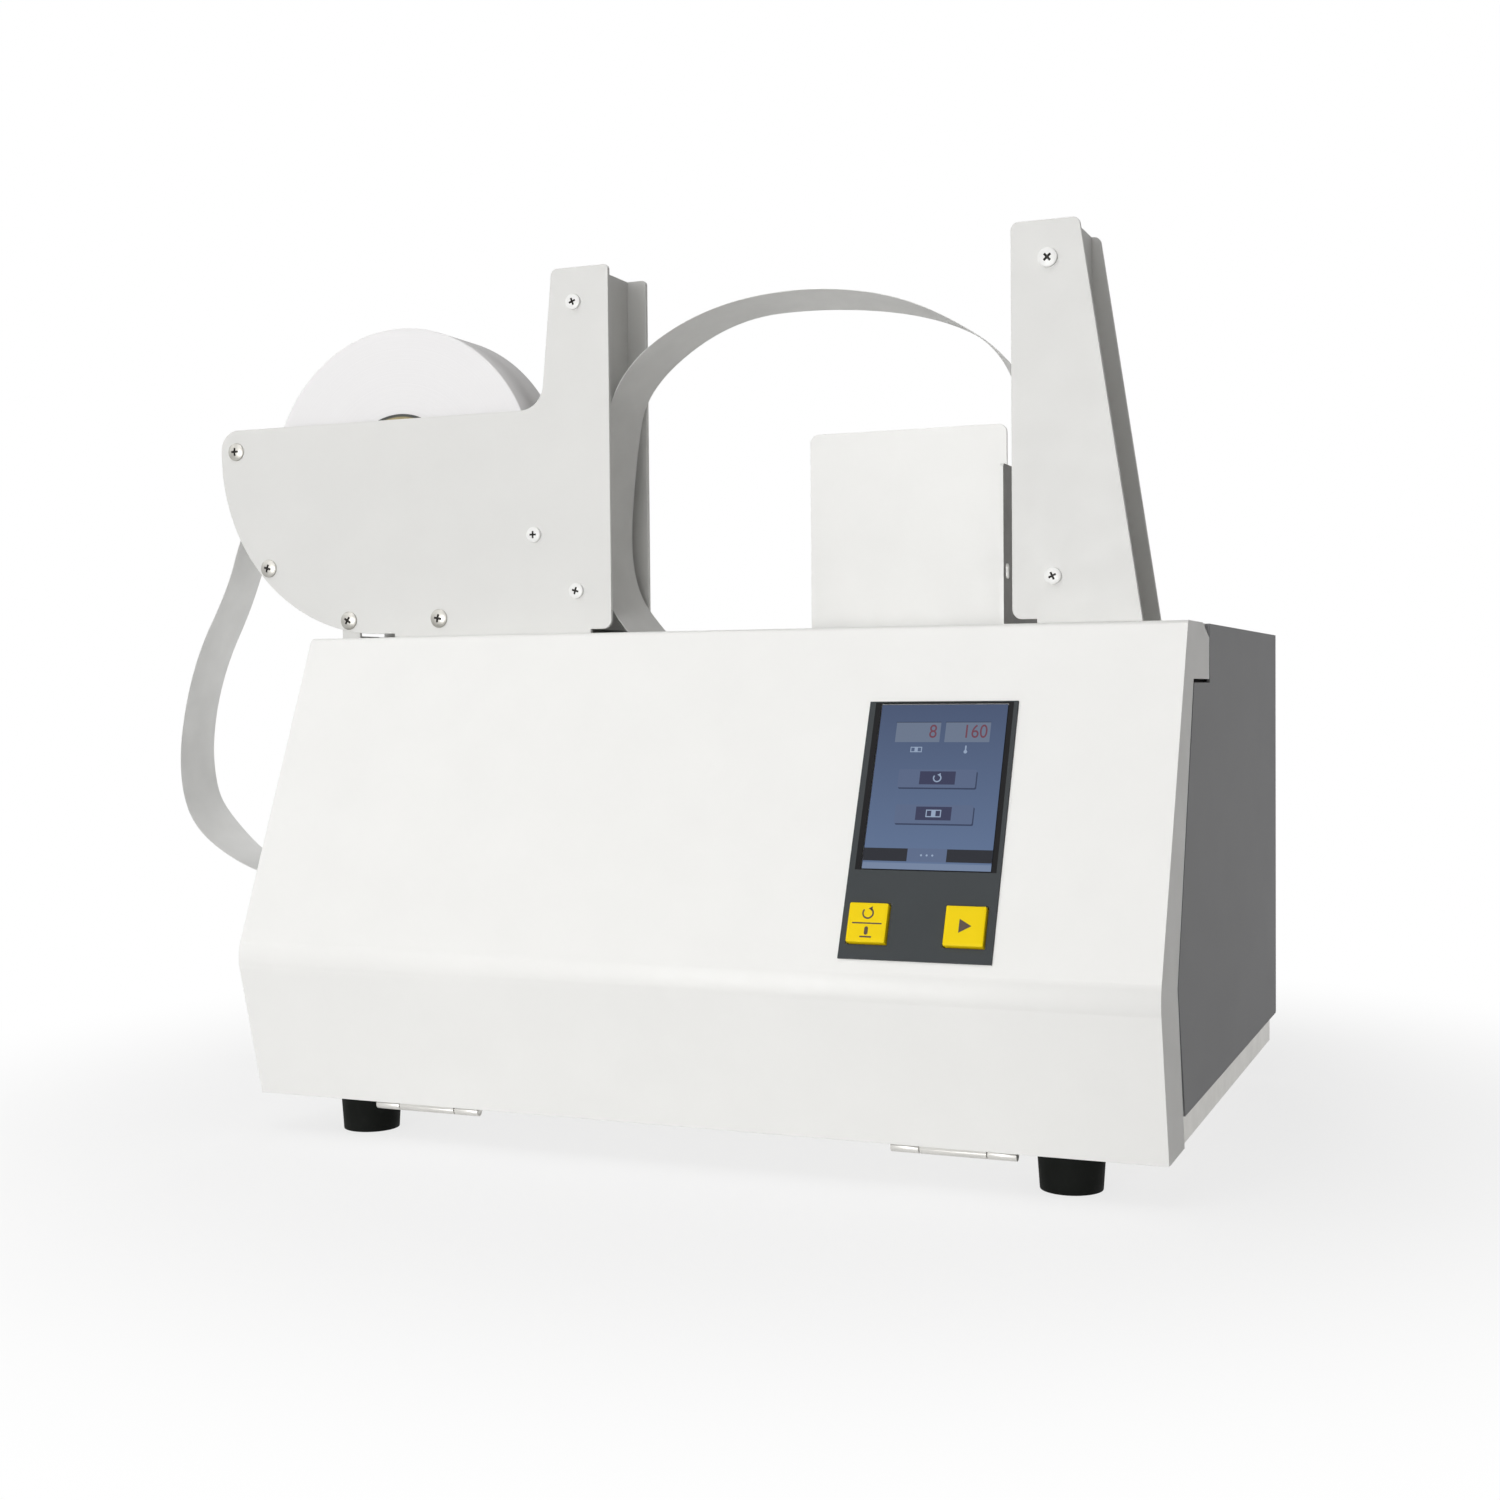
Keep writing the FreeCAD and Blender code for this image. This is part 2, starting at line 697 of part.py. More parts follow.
def make_brackets():
    """Two angles that stand the holder's plates on the deck."""
    angles = []
    left = f"({BRACKET_SCREWS[0][0]} - 5)"
    length = f"({BRACKET_SCREWS[1][0]} - {BRACKET_SCREWS[0][0]} + 12)"
    for leg, foot in (("plate_front + plate", "plate_front + plate"),
                      (f"{CHANNEL_BACK} - plate - sheet", f"{CHANNEL_BACK} - plate - bracket_foot")):
        upright = box(left, leg, "deck_top", length, "sheet", "bracket_height")
        flat = box(left, foot, "deck_top", length, "bracket_foot", "sheet")
        angles.append(fuse(upright, flat))
    keep(group(*angles), "holder_brackets")


def make_fasteners():
    """The heads of the tower's screws on both sides, and the rods that hold the plates apart."""
    heads = [screw_head(x, z, "tower_screw", side) for x, z in LEFT_SCREWS + RIGHT_SCREWS for side in SIDES]
    keep(group(*heads), "tower_screws")
    rods = [cylinder("Y", x, "plate_front + plate", z, "rod_radius", "channel") for x, z in RODS]
    keep(group(*rods), "spacer_rods")
    heads = [screw_head(x, z, "rod_screw", side) for x, z in RODS + BRACKET_SCREWS for side in SIDES]
    keep(group(*heads, screw_head(ROLL_X, "roll_height", "spindle_screw", CHANNEL_BACK)), "spacer_screws")


SIDES = ("plate_front - screw_head", CHANNEL_BACK)


def screw_head(x, z, radius, front):
    return cylinder("Y", x, front, z, radius, "screw_head")


# ---------- paper roll ----------

def ring(x, z, outer, inner, front, length):
    tube = cylinder("Y", x, front, z, outer, length)
    bore = cylinder("Y", x, f"{front} - 1", z, inner, f"{length} + 2")
    return cut(tube, bore)


def make_roll():
    keep(ring(ROLL_X, "roll_height", "roll_radius", "core_radius + core_wall", TAPE_FRONT, "tape_width"),
         "tape_roll_paper")
    keep(ring(ROLL_X, "roll_height", "core_radius + core_wall", "core_radius", TAPE_FRONT, "tape_width"),
         "tape_roll_core")
    front = "(plate_front + plate + fit_gap)"
    disc = ring(ROLL_X, "roll_height", "core_radius", "spindle_radius + running_gap",
                f"({TAPE_FRONT} + hub_inset)", "tape_width - 2 * hub_inset")
    boss = ring(ROLL_X, "roll_height", "spindle_radius + hub_wall", "spindle_radius + running_gap",
                front, "channel - 2 * fit_gap")
    keep(fuse(disc, boss), "tape_roll_hub")
    keep(cylinder("Y", ROLL_X, "plate_front + plate + fit_gap", "roll_height", "spindle_radius",
                  "channel - fit_gap"), "roll_spindle")


# ---------- paper tape ----------

def tape_strip(name, route):
    """Paper tape along a route in the XZ plane: straight runs joined by tangent arcs."""
    spots = [FreeCAD.Vector(number(x), number(TAPE_FRONT), number(z)) for x, z in route]
    half = SIZES["tape"] / 2
    upper = offset_edges(spots, half)
    lower = offset_edges(spots, -half)
    caps = [Part.makeLine(upper[0].Vertexes[0].Point, lower[0].Vertexes[0].Point),
            Part.makeLine(upper[-1].Vertexes[-1].Point, lower[-1].Vertexes[-1].Point)]
    wire = Part.Wire(Part.__sortEdges__(upper + lower + caps))
    strip = Part.Face(wire).extrude(FreeCAD.Vector(0, number("tape_width"), 0))
    return shape_part(name, strip)


def offset_edges(spots, shift):
    """The edges of a route moved sideways by `shift`, with 0.45 of the shorter run in each bend."""
    edges = []
    start = None
    for index in range(1, len(spots) - 1):
        before = spots[index] - spots[index - 1]
        after = spots[index + 1] - spots[index]
        reach = 0.45 * min(before.Length, after.Length)
        along = FreeCAD.Vector(before).normalize()
        onward = FreeCAD.Vector(after).normalize()
        side_in = FreeCAD.Vector(-along.z, 0, along.x)
        side_out = FreeCAD.Vector(-onward.z, 0, onward.x)
        entry = spots[index] - along * reach
        leave = spots[index] + onward * reach
        turn = along.getAngle(onward)
        bend = 1 if side_in.dot(onward) > 0 else -1
        centre = entry + side_in * (bend * reach / math.tan(turn / 2))
        towards = (spots[index] - centre).normalize()
        radius = (entry - centre).Length - bend * shift
        if start is None:
            start = spots[0] + side_in * shift
        first = entry + side_in * shift
        last = leave + side_out * shift
        edges.append(Part.makeLine(start, first))
        edges.append(Part.Arc(first, centre + towards * radius, last).toShape())
        start = last
    edges.append(Part.makeLine(start, spots[-1] + side_out * shift))
    return edges


def make_tape():
    """The loop that hangs from the roll, and the arch over the deck."""
    leaving = 160
    reach = "(roll_radius + tape / 2 + 0.6)"
    tape_strip("tape_feed_loop", [
        (f"{ROLL_X} + {reach} * cos({leaving})", f"roll_height + {reach} * sin({leaving})"),
        (f"{ROLL_X} - 89.4", "roll_height - 20"),
        (f"{ROLL_X} - 99.4", "feed_line + 134.7"),
        (f"{ROLL_X} - 117.6", "feed_line + 102.3"),
        (f"{ROLL_X} - 126.7", "feed_line + 68.8"),
        (f"{ROLL_X} - 126.2", "feed_line + 42.6"),
        (f"{ROLL_X} - 118.3", "feed_line + 25.5"),
        (f"{ROLL_X} - 98", "feed_line + 9.1"),
        (f"{LEFT_WALL} - 41", "feed_line + 2"),
        (f"{LEFT_WALL} - 12", "feed_line + 0.4"),
        (f"{LEFT_WALL} + feed_inset - 6", "feed_line"),
    ])
    tape_strip("tape_arch", [
        ("arch_left_slot + 25", "deck_top - 20"),
        ("arch_left_slot + 2", "deck_top"),
        ("left_web_x + sheet + 0.7", "deck_top + 26"),
        ("left_web_x + sheet + 1.5", "deck_top + 78"),
        ("left_web_x + 17", "arch_top - 25"),
        ("left_web_x + 53", "arch_top - 4.3"),
        ("arch_middle - 3", "arch_top"),
        ("2 * arch_middle - left_web_x - 48.5", "arch_top - 9"),
        ("2 * arch_middle - left_web_x - 5.5", "arch_top - 42"),
        ("2 * arch_middle - left_web_x - sheet - 1.5", "deck_top + 78"),
        ("2 * arch_middle - left_web_x - sheet - 0.7", "deck_top + 26"),
        ("arch_right_slot - 2", "deck_top"),
        ("arch_right_slot - 25", "deck_top - 20"),
    ])


# ---------- stops on the deck ----------

def make_stops():
    """Back stop and side guide, which slide together on two clamp screws."""
    body = doc.addObject("PartDesign::Body", "Body")
    corners = [
        ("stop_left", "deck_top"),
        ("stop_left", "deck_top + stop_height"),
        ("stop_right", "deck_top + stop_height"),
        ("stop_right", "deck_top"),
    ]
    sketch = outline(body, "XZ_Plane", "-stop_y", corners)
    pad(body, sketch, "sheet", reverse=True)
    round_edges(body, [((x, "stop_y + sheet / 2", "deck_top + stop_height"), "4")
                       for x in ("stop_left", "stop_right")])
    foot = box("stop_left", "stop_y", "deck_top", "stop_right - stop_left", "stop_foot", "sheet")
    drills = [cylinder("Z", x, STOP_SCREW_Y, "deck_top - 1", "stop_screw_radius + 0.2", "sheet + 2")
              for x in STOP_SCREWS]
    keep(cut(fuse(body, foot), *drills), "back_stop")

    body = doc.addObject("PartDesign::Body", "Body")
    sketch = outline(body, "YZ_Plane", "guide_x", [
        ("stop_y - guide_depth", "deck_top"),
        ("stop_y - guide_depth", "deck_top + guide_height"),
        ("stop_y", "deck_top + guide_height"),
        ("stop_y", "deck_top"),
    ])
    pad(body, sketch, "sheet")
    round_edges(body, [(("guide_x + sheet / 2", "stop_y - guide_depth", "deck_top + guide_height"), "2")])
    ear = box("stop_right - guide_ear", "stop_y - sheet", "deck_top + guide_ear",
              "guide_x + sheet - stop_right + guide_ear", "sheet", "guide_height - 2 * guide_ear")
    slot = box("guide_x - 1", "stop_y - guide_depth / 2 - guide_slot_width / 2", "deck_top + 16", "sheet + 2",
               "guide_slot_width", "guide_slot_height")
    keep(cut(fuse(body, ear), slot), "side_guide")

    screws = []
    for x in STOP_SCREWS:
        head = cylinder("Z", x, STOP_SCREW_Y, "deck_top + sheet", "stop_screw_head", "2.2")
        rod = cylinder("Z", x, STOP_SCREW_Y, f"{DECK_UNDER} - 6", "stop_screw_radius", "6 + 2 * sheet")
        nut = box(f"{x} - stop_nut / 2", f"{STOP_SCREW_Y} - stop_nut / 2", f"{DECK_UNDER} - 2.8", "stop_nut",
                  "stop_nut", "2.5")
        screws.append(fuse(head, rod, nut))
    keep(group(*screws), "stop_clamp_screws")


# ---------- control panel ----------

def make_panel():
    """Overlay, screen and two square keys on the sloped face."""
    overlay = panel_box("panel_left", "panel_start", "panel_end", "0", "panel_width", "panel")
    holes = [panel_box(x, "key_start", "key_start + key", "-1", "key", "panel + 2", "key_gap")
             for x in ("key_left_x", "key_right_x")]
    window = panel_box("screen_left", "screen_start", "screen_end", "-1", "screen_width", "panel + 2", "key_gap")
    keep(cut(overlay, window, *holes), "panel_overlay")
    keep(panel_box("screen_left", "screen_start", "screen_end", "-sheet", "screen_width",
                   "sheet + panel / 2"), "screen_window")
    keep(panel_box("screen_left", "screen_start", "screen_end", "-sheet - screen_depth", "screen_width",
                   "screen_depth - fit_gap", "screen_rim"), "screen_module")
    foot = "(sheet + key_rim + key_seat)"
    for name, x in (("left", "key_left_x"), ("right", "key_right_x")):
        cap = panel_box(x, "key_start", "key_start + key", f"-{foot}", "key", f"{foot} + panel + key_height")
        rim = panel_box(x, "key_start", "key_start + key", f"-{foot}", "key", "key_rim", "key_rim_reach")
        keep(fuse(cap, rim), f"key_{name}")
    board = panel_box("key_left_x - 3", "key_start - 3", "key_start + key + 3", "-sheet - key_pocket - board",
                      "key_right_x + key - key_left_x + 6", "board")
    switches = [panel_box(f"{x} + key / 3", "key_start + key / 3", "key_start + 2 * key / 3", "-sheet - key_pocket",
                          "key / 3", "key_pocket - key_rim - key_seat - key_travel - 0.1")
                for x in ("key_left_x", "key_right_x")]
    posts = [panel_box(x, "key_start + 2", "key_start + 7", "-sheet - key_pocket", "4", "key_pocket")
             for x in ("key_left_x + key + 4", "key_right_x - 8")]
    keep(fuse(board, *switches, *posts), "key_board")


# ---------- tape drive and sealing press, under the deck ----------

FEED_X = "(-width / 2 + feed_inset)"
FEED_Z = "(feed_line - tape / 2 - feed_roller_radius)"
PINCH_Z = "(feed_line + tape / 2 + pinch_roller_radius)"
DRIVE_BACK = f"({CHANNEL_BACK} + drive_plate)"
GEAR_FRONT = f"({CHANNEL_BACK} - gear_gap - gear_width)"
FEED_PINION_Z = f"({FEED_Z} - gear_module * (feed_teeth + pinion_teeth) / 2)"
CAM_Z = "(deck_top - cam_drop)"
CAM_PINION_Z = f"({CAM_Z} - gear_module * (cam_teeth + pinion_teeth) / 2)"
ANVIL_UNDER = f"({DECK_UNDER} - anvil)"
CARRIAGE_FOOT = f"({CAM_Z} + cam_base + follower_gap)"
HEAD_TOP = f"({ANVIL_UNDER} - cam_lift - head_rise)"


def involute_gear(x, z, teeth, tooth_angle, bore):
    """A spur gear with involute flanks about an axis along Y. One tooth points along tooth_angle."""
    module = SIZES["gear_module"]
    count = int(round(number(teeth)))
    pitch = module * count / 2
    base = pitch * math.cos(math.radians(20))
    tip = pitch + module
    root = pitch - 1.25 * module
    half_tooth = math.pi / (2 * count) - SIZES["backlash"] / (2 * pitch)
    pressure = math.tan(math.radians(20)) - math.radians(20)

    def flank(radius):
        """Half of a tooth's angle at a radius."""
        if radius <= base:
            return half_tooth + pressure
        angle = math.acos(base / radius)
        return half_tooth + pressure - (math.tan(angle) - angle)

    start = max(base, root)
    radii = [start + (tip - start) * step / 2 for step in range(3)]
    spots = []
    for tooth in range(count):
        middle = math.radians(tooth_angle) + 2 * math.pi * tooth / count
        rise = [(root, middle - flank(start))] + [(radius, middle - flank(radius)) for radius in radii]
        fall = [(radius, middle + flank(radius)) for radius in reversed(radii)] + [(root, middle + flank(start))]
        spots.extend(rise + fall)
    centre = FreeCAD.Vector(number(x), number(GEAR_FRONT), number(z))
    points = [centre + FreeCAD.Vector(radius * math.cos(angle), 0, radius * math.sin(angle))
              for radius, angle in spots]
    blank = Part.Face(Part.makePolygon(points + points[:1])).extrude(FreeCAD.Vector(0, number("gear_width"), 0))
    hole = Part.makeCylinder(number(bore), number("gear_width") + 2, centre - FreeCAD.Vector(0, 1, 0),
                             FreeCAD.Vector(0, 1, 0))
    return blank.cut(hole)


def make_drive_plate():
    """Upright plate behind the tape that carries every shaft and both motors."""
    left = f"({INNER_LEFT} + sheet + fit_gap)"
    length = f"({INNER_WIDTH} - 2 * sheet - 2 * fit_gap)"
    plate = box(left, CHANNEL_BACK, BASE_TOP, length, "drive_plate", f"{DECK_UNDER} - {BASE_TOP}")
    foot = box(left, CHANNEL_BACK, BASE_TOP, length, "plate_flange", "drive_plate")
    shafts = ((FEED_X, FEED_Z), (FEED_X, PINCH_Z), ("cam_x", CAM_Z))
    pinions = ((FEED_X, FEED_PINION_Z), ("cam_x", CAM_PINION_Z))
    holes = [cylinder("Y", x, f"{CHANNEL_BACK} - 1", z, "bush_radius", "drive_plate + 2")
             for x, z in shafts + pinions]
    keep(cut(fuse(plate, foot), *holes), "drive_plate")
    bushes = [ring(x, z, "bush_radius", "shaft_radius + running_gap", CHANNEL_BACK, "drive_plate + bush_proud")
              for x, z in shafts]
    keep(group(*bushes), "shaft_bushes")


def shaft(x, z, front):
    """A shaft from `front` back through the drive plate and its bush."""
    return cylinder("Y", x, front, z, "shaft_radius", f"{DRIVE_BACK} + 2 * bush_proud - {front}")


def make_feed():
    keep(shaft(FEED_X, FEED_Z, f"({TAPE_FRONT} - 2)"), "feed_shaft")
    keep(ring(FEED_X, FEED_Z, "feed_roller_radius", "shaft_radius", TAPE_FRONT, "tape_width - 1"), "feed_roller")
    shape_part("feed_gear", involute_gear(FEED_X, FEED_Z, "feed_teeth", -90, "shaft_radius"))
    pinch = cylinder("Y", FEED_X, TAPE_FRONT, PINCH_Z, "pinch_roller_radius", "tape_width - 1")
    keep(fuse(shaft(FEED_X, PINCH_Z, f"({TAPE_FRONT} - 2)"), pinch), "pinch_roller")
    make_motor("feed", FEED_X, FEED_PINION_Z)
    route = [
        (f"{FEED_X} + 23", "feed_line"),
        (f"{FEED_X} + 55", "feed_line"),
        ("cam_x - 84", "feed_line + 34"),
        ("cam_x - 60", f"{ANVIL_UNDER} - 26"),
        ("cam_x - 38", f"{ANVIL_UNDER} - 9"),
    ]
    spots = [FreeCAD.Vector(number(x), number(TAPE_FRONT), number(z)) for x, z in route]
    walls = []
    for side in (-1, 1):
        inner = number("chute_gap")
        outer = inner + number("chute_sheet")
        edges = offset_edges(spots, side * outer) + offset_edges(spots, side * inner)
        ends = [Part.makeLine(edges[0].Vertexes[0].Point, edges[len(edges) // 2].Vertexes[0].Point),
                Part.makeLine(edges[len(edges) // 2 - 1].Vertexes[-1].Point, edges[-1].Vertexes[-1].Point)]
        wire = Part.Wire(Part.__sortEdges__(edges + ends))
        depth = number(CHANNEL_BACK) - number(TAPE_FRONT)
        walls.append(Part.Face(wire).extrude(FreeCAD.Vector(0, depth, 0)))
    shape_part("feed_chute", Part.makeCompound(walls))


def make_motor(name, x, z):
    """A motor on the back of the drive plate, and the pinion on its shaft."""
    can = cylinder("Y", x, DRIVE_BACK, z, "motor_radius", "motor_length")
    bore = cylinder("Y", x, f"{DRIVE_BACK} - 1", z, "motor_shaft + running_gap", "motor_bore + 1")
    keep(cut(can, bore), f"{name}_motor")
    gear = involute_gear(x, z, "pinion_teeth", 90 + 180 / SIZES["pinion_teeth"], "motor_shaft / 2")
    start = FreeCAD.Vector(number(x), number(GEAR_FRONT), number(z))
    length = number(f"{DRIVE_BACK} + motor_bore - 1 - {GEAR_FRONT}")
    rod = Part.makeCylinder(number("motor_shaft"), length, start, FreeCAD.Vector(0, 1, 0))
    shape_part(f"{name}_pinion", gear.fuse(rod).removeSplitter())


def make_cam():
    """A spiral cam: its radius grows evenly with the angle, so the press rises evenly."""
    base = number("cam_base")
    lift = number("cam_lift")
    turn = number("cam_turn")
    centre = FreeCAD.Vector(number("cam_x"), number(TAPE_FRONT) + 10, number(CAM_Z))
    spots = []
    for step in range(0, int(turn) + 1, 10):
        spots.append((90 + step, base + lift * step / turn))
    for angle, rise in ((turn + 12, lift), (turn + 60, lift * 0.45), (turn + 110, 0), (360 - 25, 0)):
        spots.append((90 + angle, base + rise))
    points = [centre + FreeCAD.Vector(radius * math.cos(math.radians(angle)), 0,
                                      radius * math.sin(math.radians(angle))) for angle, radius in spots]
    disc = Part.Face(Part.makePolygon(points + points[:1]))
    disc = disc.extrude(FreeCAD.Vector(0, number("cam_width"), 0))
    hole = Part.makeCylinder(number("shaft_radius"), number("cam_width") + 2, centre - FreeCAD.Vector(0, 1, 0),
                             FreeCAD.Vector(0, 1, 0))
    shape_part("press_cam", disc.cut(hole))
    keep(shaft("cam_x", CAM_Z, f"({TAPE_FRONT} + 6)"), "cam_shaft")
    shape_part("cam_gear", involute_gear("cam_x", CAM_Z, "cam_teeth", -90, "shaft_radius"))
    make_motor("cam", "cam_x", CAM_PINION_Z)


def make_press():
    """The carriage that the cam lifts, with the heated sealing block and the tape cutter."""
    front = f"({TAPE_FRONT} + 3)"
    depth = "(tape_width - 4)"
    rod_y = f"({front} + depth / 2)".replace("depth", depth)
    head_foot = f"({HEAD_TOP} - head_height)"
    rod_places = [f"cam_x + {side} * rod_reach" for side in (-1, 1)]
    stem = box("cam_x - stem_width / 2", front, CARRIAGE_FOOT, "stem_width", depth, f"{head_foot} - {CARRIAGE_FOOT}")
    ears = box("cam_x - ear_width / 2", f"{rod_y} - ear_depth / 2", f"{ANVIL_UNDER} - ear_drop", "ear_width",
               "ear_depth", "ear_height")
    bores = [cylinder("Z", x, rod_y, f"{ANVIL_UNDER} - ear_drop - 1", "shaft_radius + running_gap",
                      "ear_height + 2") for x in rod_places]
    keep(cut(fuse(stem, ears), *bores), "press_carriage")
    keep(box("cam_x - head_width / 2", f"{front} - 1", head_foot, "head_width", f"{depth} + 2", "head_height"),
         "heater_block")
    keep(box("cam_x + head_width / 2", front, f"{HEAD_TOP} + head_rise - blade_height", "blade", depth,
             "blade_height"), "cutter_blade")
    lug = box("cam_x - anvil_width / 2", f"{front} - 2", f"{ANVIL_UNDER} - guide_drop", "anvil_width",
              f"{CHANNEL_BACK} - {front} + 2", "guide")
    way = box("cam_x - head_width / 2", f"{front} - 3", f"{ANVIL_UNDER} - guide_drop - 1", "head_width",
              f"{depth} + 4", "guide + 2")
    keep(cut(lug, way), "press_guide")
    keep(group(*[cylinder("Z", x, rod_y, f"{ANVIL_UNDER} - rod_length", "shaft_radius", "rod_length")
                 for x in rod_places]), "press_rods")
    keep(box("cam_x - anvil_width / 2", f"{front} - 2", ANVIL_UNDER, "anvil_width",
             f"{CHANNEL_BACK} - {front} + 2", "anvil"), "sealing_anvil")


# ---------- electrics ----------

def make_power_supply():
    """A sheet case with slots in its lid."""
    case = box("supply_x", "supply_y", BASE_TOP, "supply_length", "supply_width", "supply_height")
    inside = box("supply_x + supply_sheet", "supply_y + supply_sheet", f"{BASE_TOP} + supply_sheet",
                 "supply_length - 2 * supply_sheet", "supply_width - 2 * supply_sheet",
                 "supply_height - 2 * supply_sheet")
    pitch = "(supply_length / (supply_slots + 2))"
    slots = [box(f"supply_x + {pitch} * {1.5 + index}", "supply_y + supply_width / 6",
                 f"{BASE_TOP} + supply_height - 2 * supply_sheet", "supply_slot", "supply_width * 2 / 3",
                 "3 * supply_sheet") for index in range(int(SIZES["supply_slots"]))]
    keep(cut(case, inside, *slots), "power_supply")


def make_main_board():
    """A board on four square spacers, with two capacitors and three chips."""
    top = f"({BASE_TOP} + board_lift + board)"
    plate = box("0", "board_y", f"{BASE_TOP} + board_lift", "board_length", "board_width", "board")
    spacers = [box(x, y, BASE_TOP, "6", "6", "board_lift")
               for x in ("2", "board_length - 8") for y in ("board_y + 2", "board_y + board_width - 8")]
    capacitors = [cylinder("Z", x, "board_y + 15", top, "6", "15") for x in ("22", "40")]
    chips = [box(f"18 + {26 * index}", "board_y + 40", top, "16", "16", "3") for index in range(3)]
    keep(fuse(plate, *spacers, *capacitors, *chips), "main_board")


def wall_box(centre_x, width, height, front, depth, margin="0"):
    """A box in the back wall, centred on the inlet's height; a positive margin makes it larger all round."""
    return box(f"{centre_x} - {width} / 2 - ({margin})", front, f"inlet_z - {height} / 2 - ({margin})",
               f"{width} + 2 * ({margin})", depth, f"{height} + 2 * ({margin})")


def make_inlet():
    flange = wall_box("inlet_x", "inlet_width", "inlet_height", "rear_edge", "inlet_flange_depth", "inlet_flange")
    barrel = wall_box("inlet_x", "inlet_width", "inlet_height", "rear_edge - inlet_depth", "inlet_depth", "-0.2")
    socket = wall_box("inlet_x", "inlet_width", "inlet_height", "rear_edge - inlet_socket", "inlet_socket + 5",
                      "-0.2 - inlet_wall")
    pins = [box(f"inlet_x + {side} * inlet_pin_pitch - 1", "rear_edge - inlet_socket - 1",
                f"inlet_z + {rise} - 2", "2", "inlet_socket - 3", "4") for side, rise in ((-1, -1.5), (0, 2.5), (1, -1.5))]
    keep(fuse(cut(fuse(flange, barrel), socket), *pins), "mains_inlet")


def make_switch():
    """A frame in the back wall and the rocker that tilts in it."""
    flange = wall_box("switch_x", "switch_width", "switch_height", "rear_edge", "switch_flange", "switch_flange")
    barrel = wall_box("switch_x", "switch_width", "switch_height", "rear_edge - switch_depth", "switch_depth", "-0.2")
    well = wall_box("switch_x", "switch_width", "switch_height", "rear_edge - switch_depth + 2", "switch_depth + 5",
                    "-1.2")
    keep(cut(fuse(flange, barrel), well), "switch_frame")
    drum = cylinder("X", "switch_x - switch_width / 2 + 1.5", "rear_edge - 3", "inlet_z",
                    "switch_height / 2 - 1.5", "switch_width - 3")
    slab = box("0", "0", "0", "switch_width", "9", "switch_height")
    slab.Placement.Rotation = FreeCAD.Rotation(FreeCAD.Vector(1, 0, 0), SIZES["rocker_tilt"])
    place(slab, "switch_x - switch_width / 2",
          "rear_edge - 3 - 4 * cos(rocker_tilt) + switch_height / 2 * sin(rocker_tilt)",
          "inlet_z - 4 * sin(rocker_tilt) - switch_height / 2 * cos(rocker_tilt)")
    rocker = doc.addObject("Part::Common", "Common")
    rocker.Base = drum
    rocker.Tool = slab
    keep(rocker, "switch_rocker")


# ---------- build ----------

def check_and_write():
    doc.recompute()
    for item in doc.Objects:
        if "Invalid" in item.State or "Error" in item.State:
            raise RuntimeError("%s (%s) is %s" % (item.Name, item.Label, item.State))
    os.makedirs("parts", exist_ok=True)
    for item in parts:
        if item.Shape.isNull() or not item.Shape.isValid():
            raise RuntimeError("%s has no valid shape" % item.Label)
        item.Shape.exportStep(os.path.join("parts", item.Label + ".step"))
    print("%d nodes" % len(parts))


make_front_cover()
make_side_shell()
make_base_tray()
make_feet()
make_deck()
make_hinges()
make_left_tower()
make_right_tower()
make_webs()
make_brackets()
make_fasteners()
make_roll()
make_tape()
make_stops()
make_panel()
make_drive_plate()
make_feed()
make_cam()
make_press()
make_power_supply()
make_main_board()
make_inlet()
make_switch()
check_and_write()
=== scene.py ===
import json
import math

import bmesh
import bpy
from mathutils import Matrix, Vector


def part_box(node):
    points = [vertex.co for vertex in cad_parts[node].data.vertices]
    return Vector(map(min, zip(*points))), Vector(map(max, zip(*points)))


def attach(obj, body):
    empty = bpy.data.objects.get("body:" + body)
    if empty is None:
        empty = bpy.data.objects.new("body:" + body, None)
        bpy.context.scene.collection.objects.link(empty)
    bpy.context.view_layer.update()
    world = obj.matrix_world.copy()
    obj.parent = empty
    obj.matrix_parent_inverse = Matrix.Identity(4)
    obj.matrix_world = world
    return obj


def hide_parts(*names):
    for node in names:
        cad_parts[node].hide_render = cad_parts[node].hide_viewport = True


# Banknote strapping machine. Metres; +X to the operator's right, +Y to the back, +Z up.

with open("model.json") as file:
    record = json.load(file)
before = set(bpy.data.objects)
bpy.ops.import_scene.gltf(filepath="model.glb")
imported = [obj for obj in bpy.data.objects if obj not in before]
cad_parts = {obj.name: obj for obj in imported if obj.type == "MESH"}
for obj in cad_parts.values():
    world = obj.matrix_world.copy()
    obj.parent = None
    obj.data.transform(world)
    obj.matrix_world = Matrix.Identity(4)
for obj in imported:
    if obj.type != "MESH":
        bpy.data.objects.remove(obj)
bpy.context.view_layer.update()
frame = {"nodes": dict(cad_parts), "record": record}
MM = 0.001
SAME_SPOT = 0.001 * MM


# ---------- places, read from the frame ----------

cover_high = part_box("front_cover")[1]
roll_low, roll_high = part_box("tape_roll_paper")
core_low, core_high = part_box("tape_roll_core")
ROLL_CENTRE = (roll_low + roll_high) / 2
ROLL_RADIUS = (roll_high.z - roll_low.z) / 2
CORE_RADIUS = (core_high.z - core_low.z) / 2
TAPE_FRONT = roll_low.y
TAPE_BACK = roll_high.y
DECK_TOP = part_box("work_deck")[1].z

# The cover's lip and its sloped face, as in the part's source.
LIP_DEPTH = 47 * MM
FRONT_EDGE = cover_high.y - LIP_DEPTH
SLOPE_REACH = 57.5 * MM
SLOPE_DROP = 135 * MM


# ---------- materials ----------

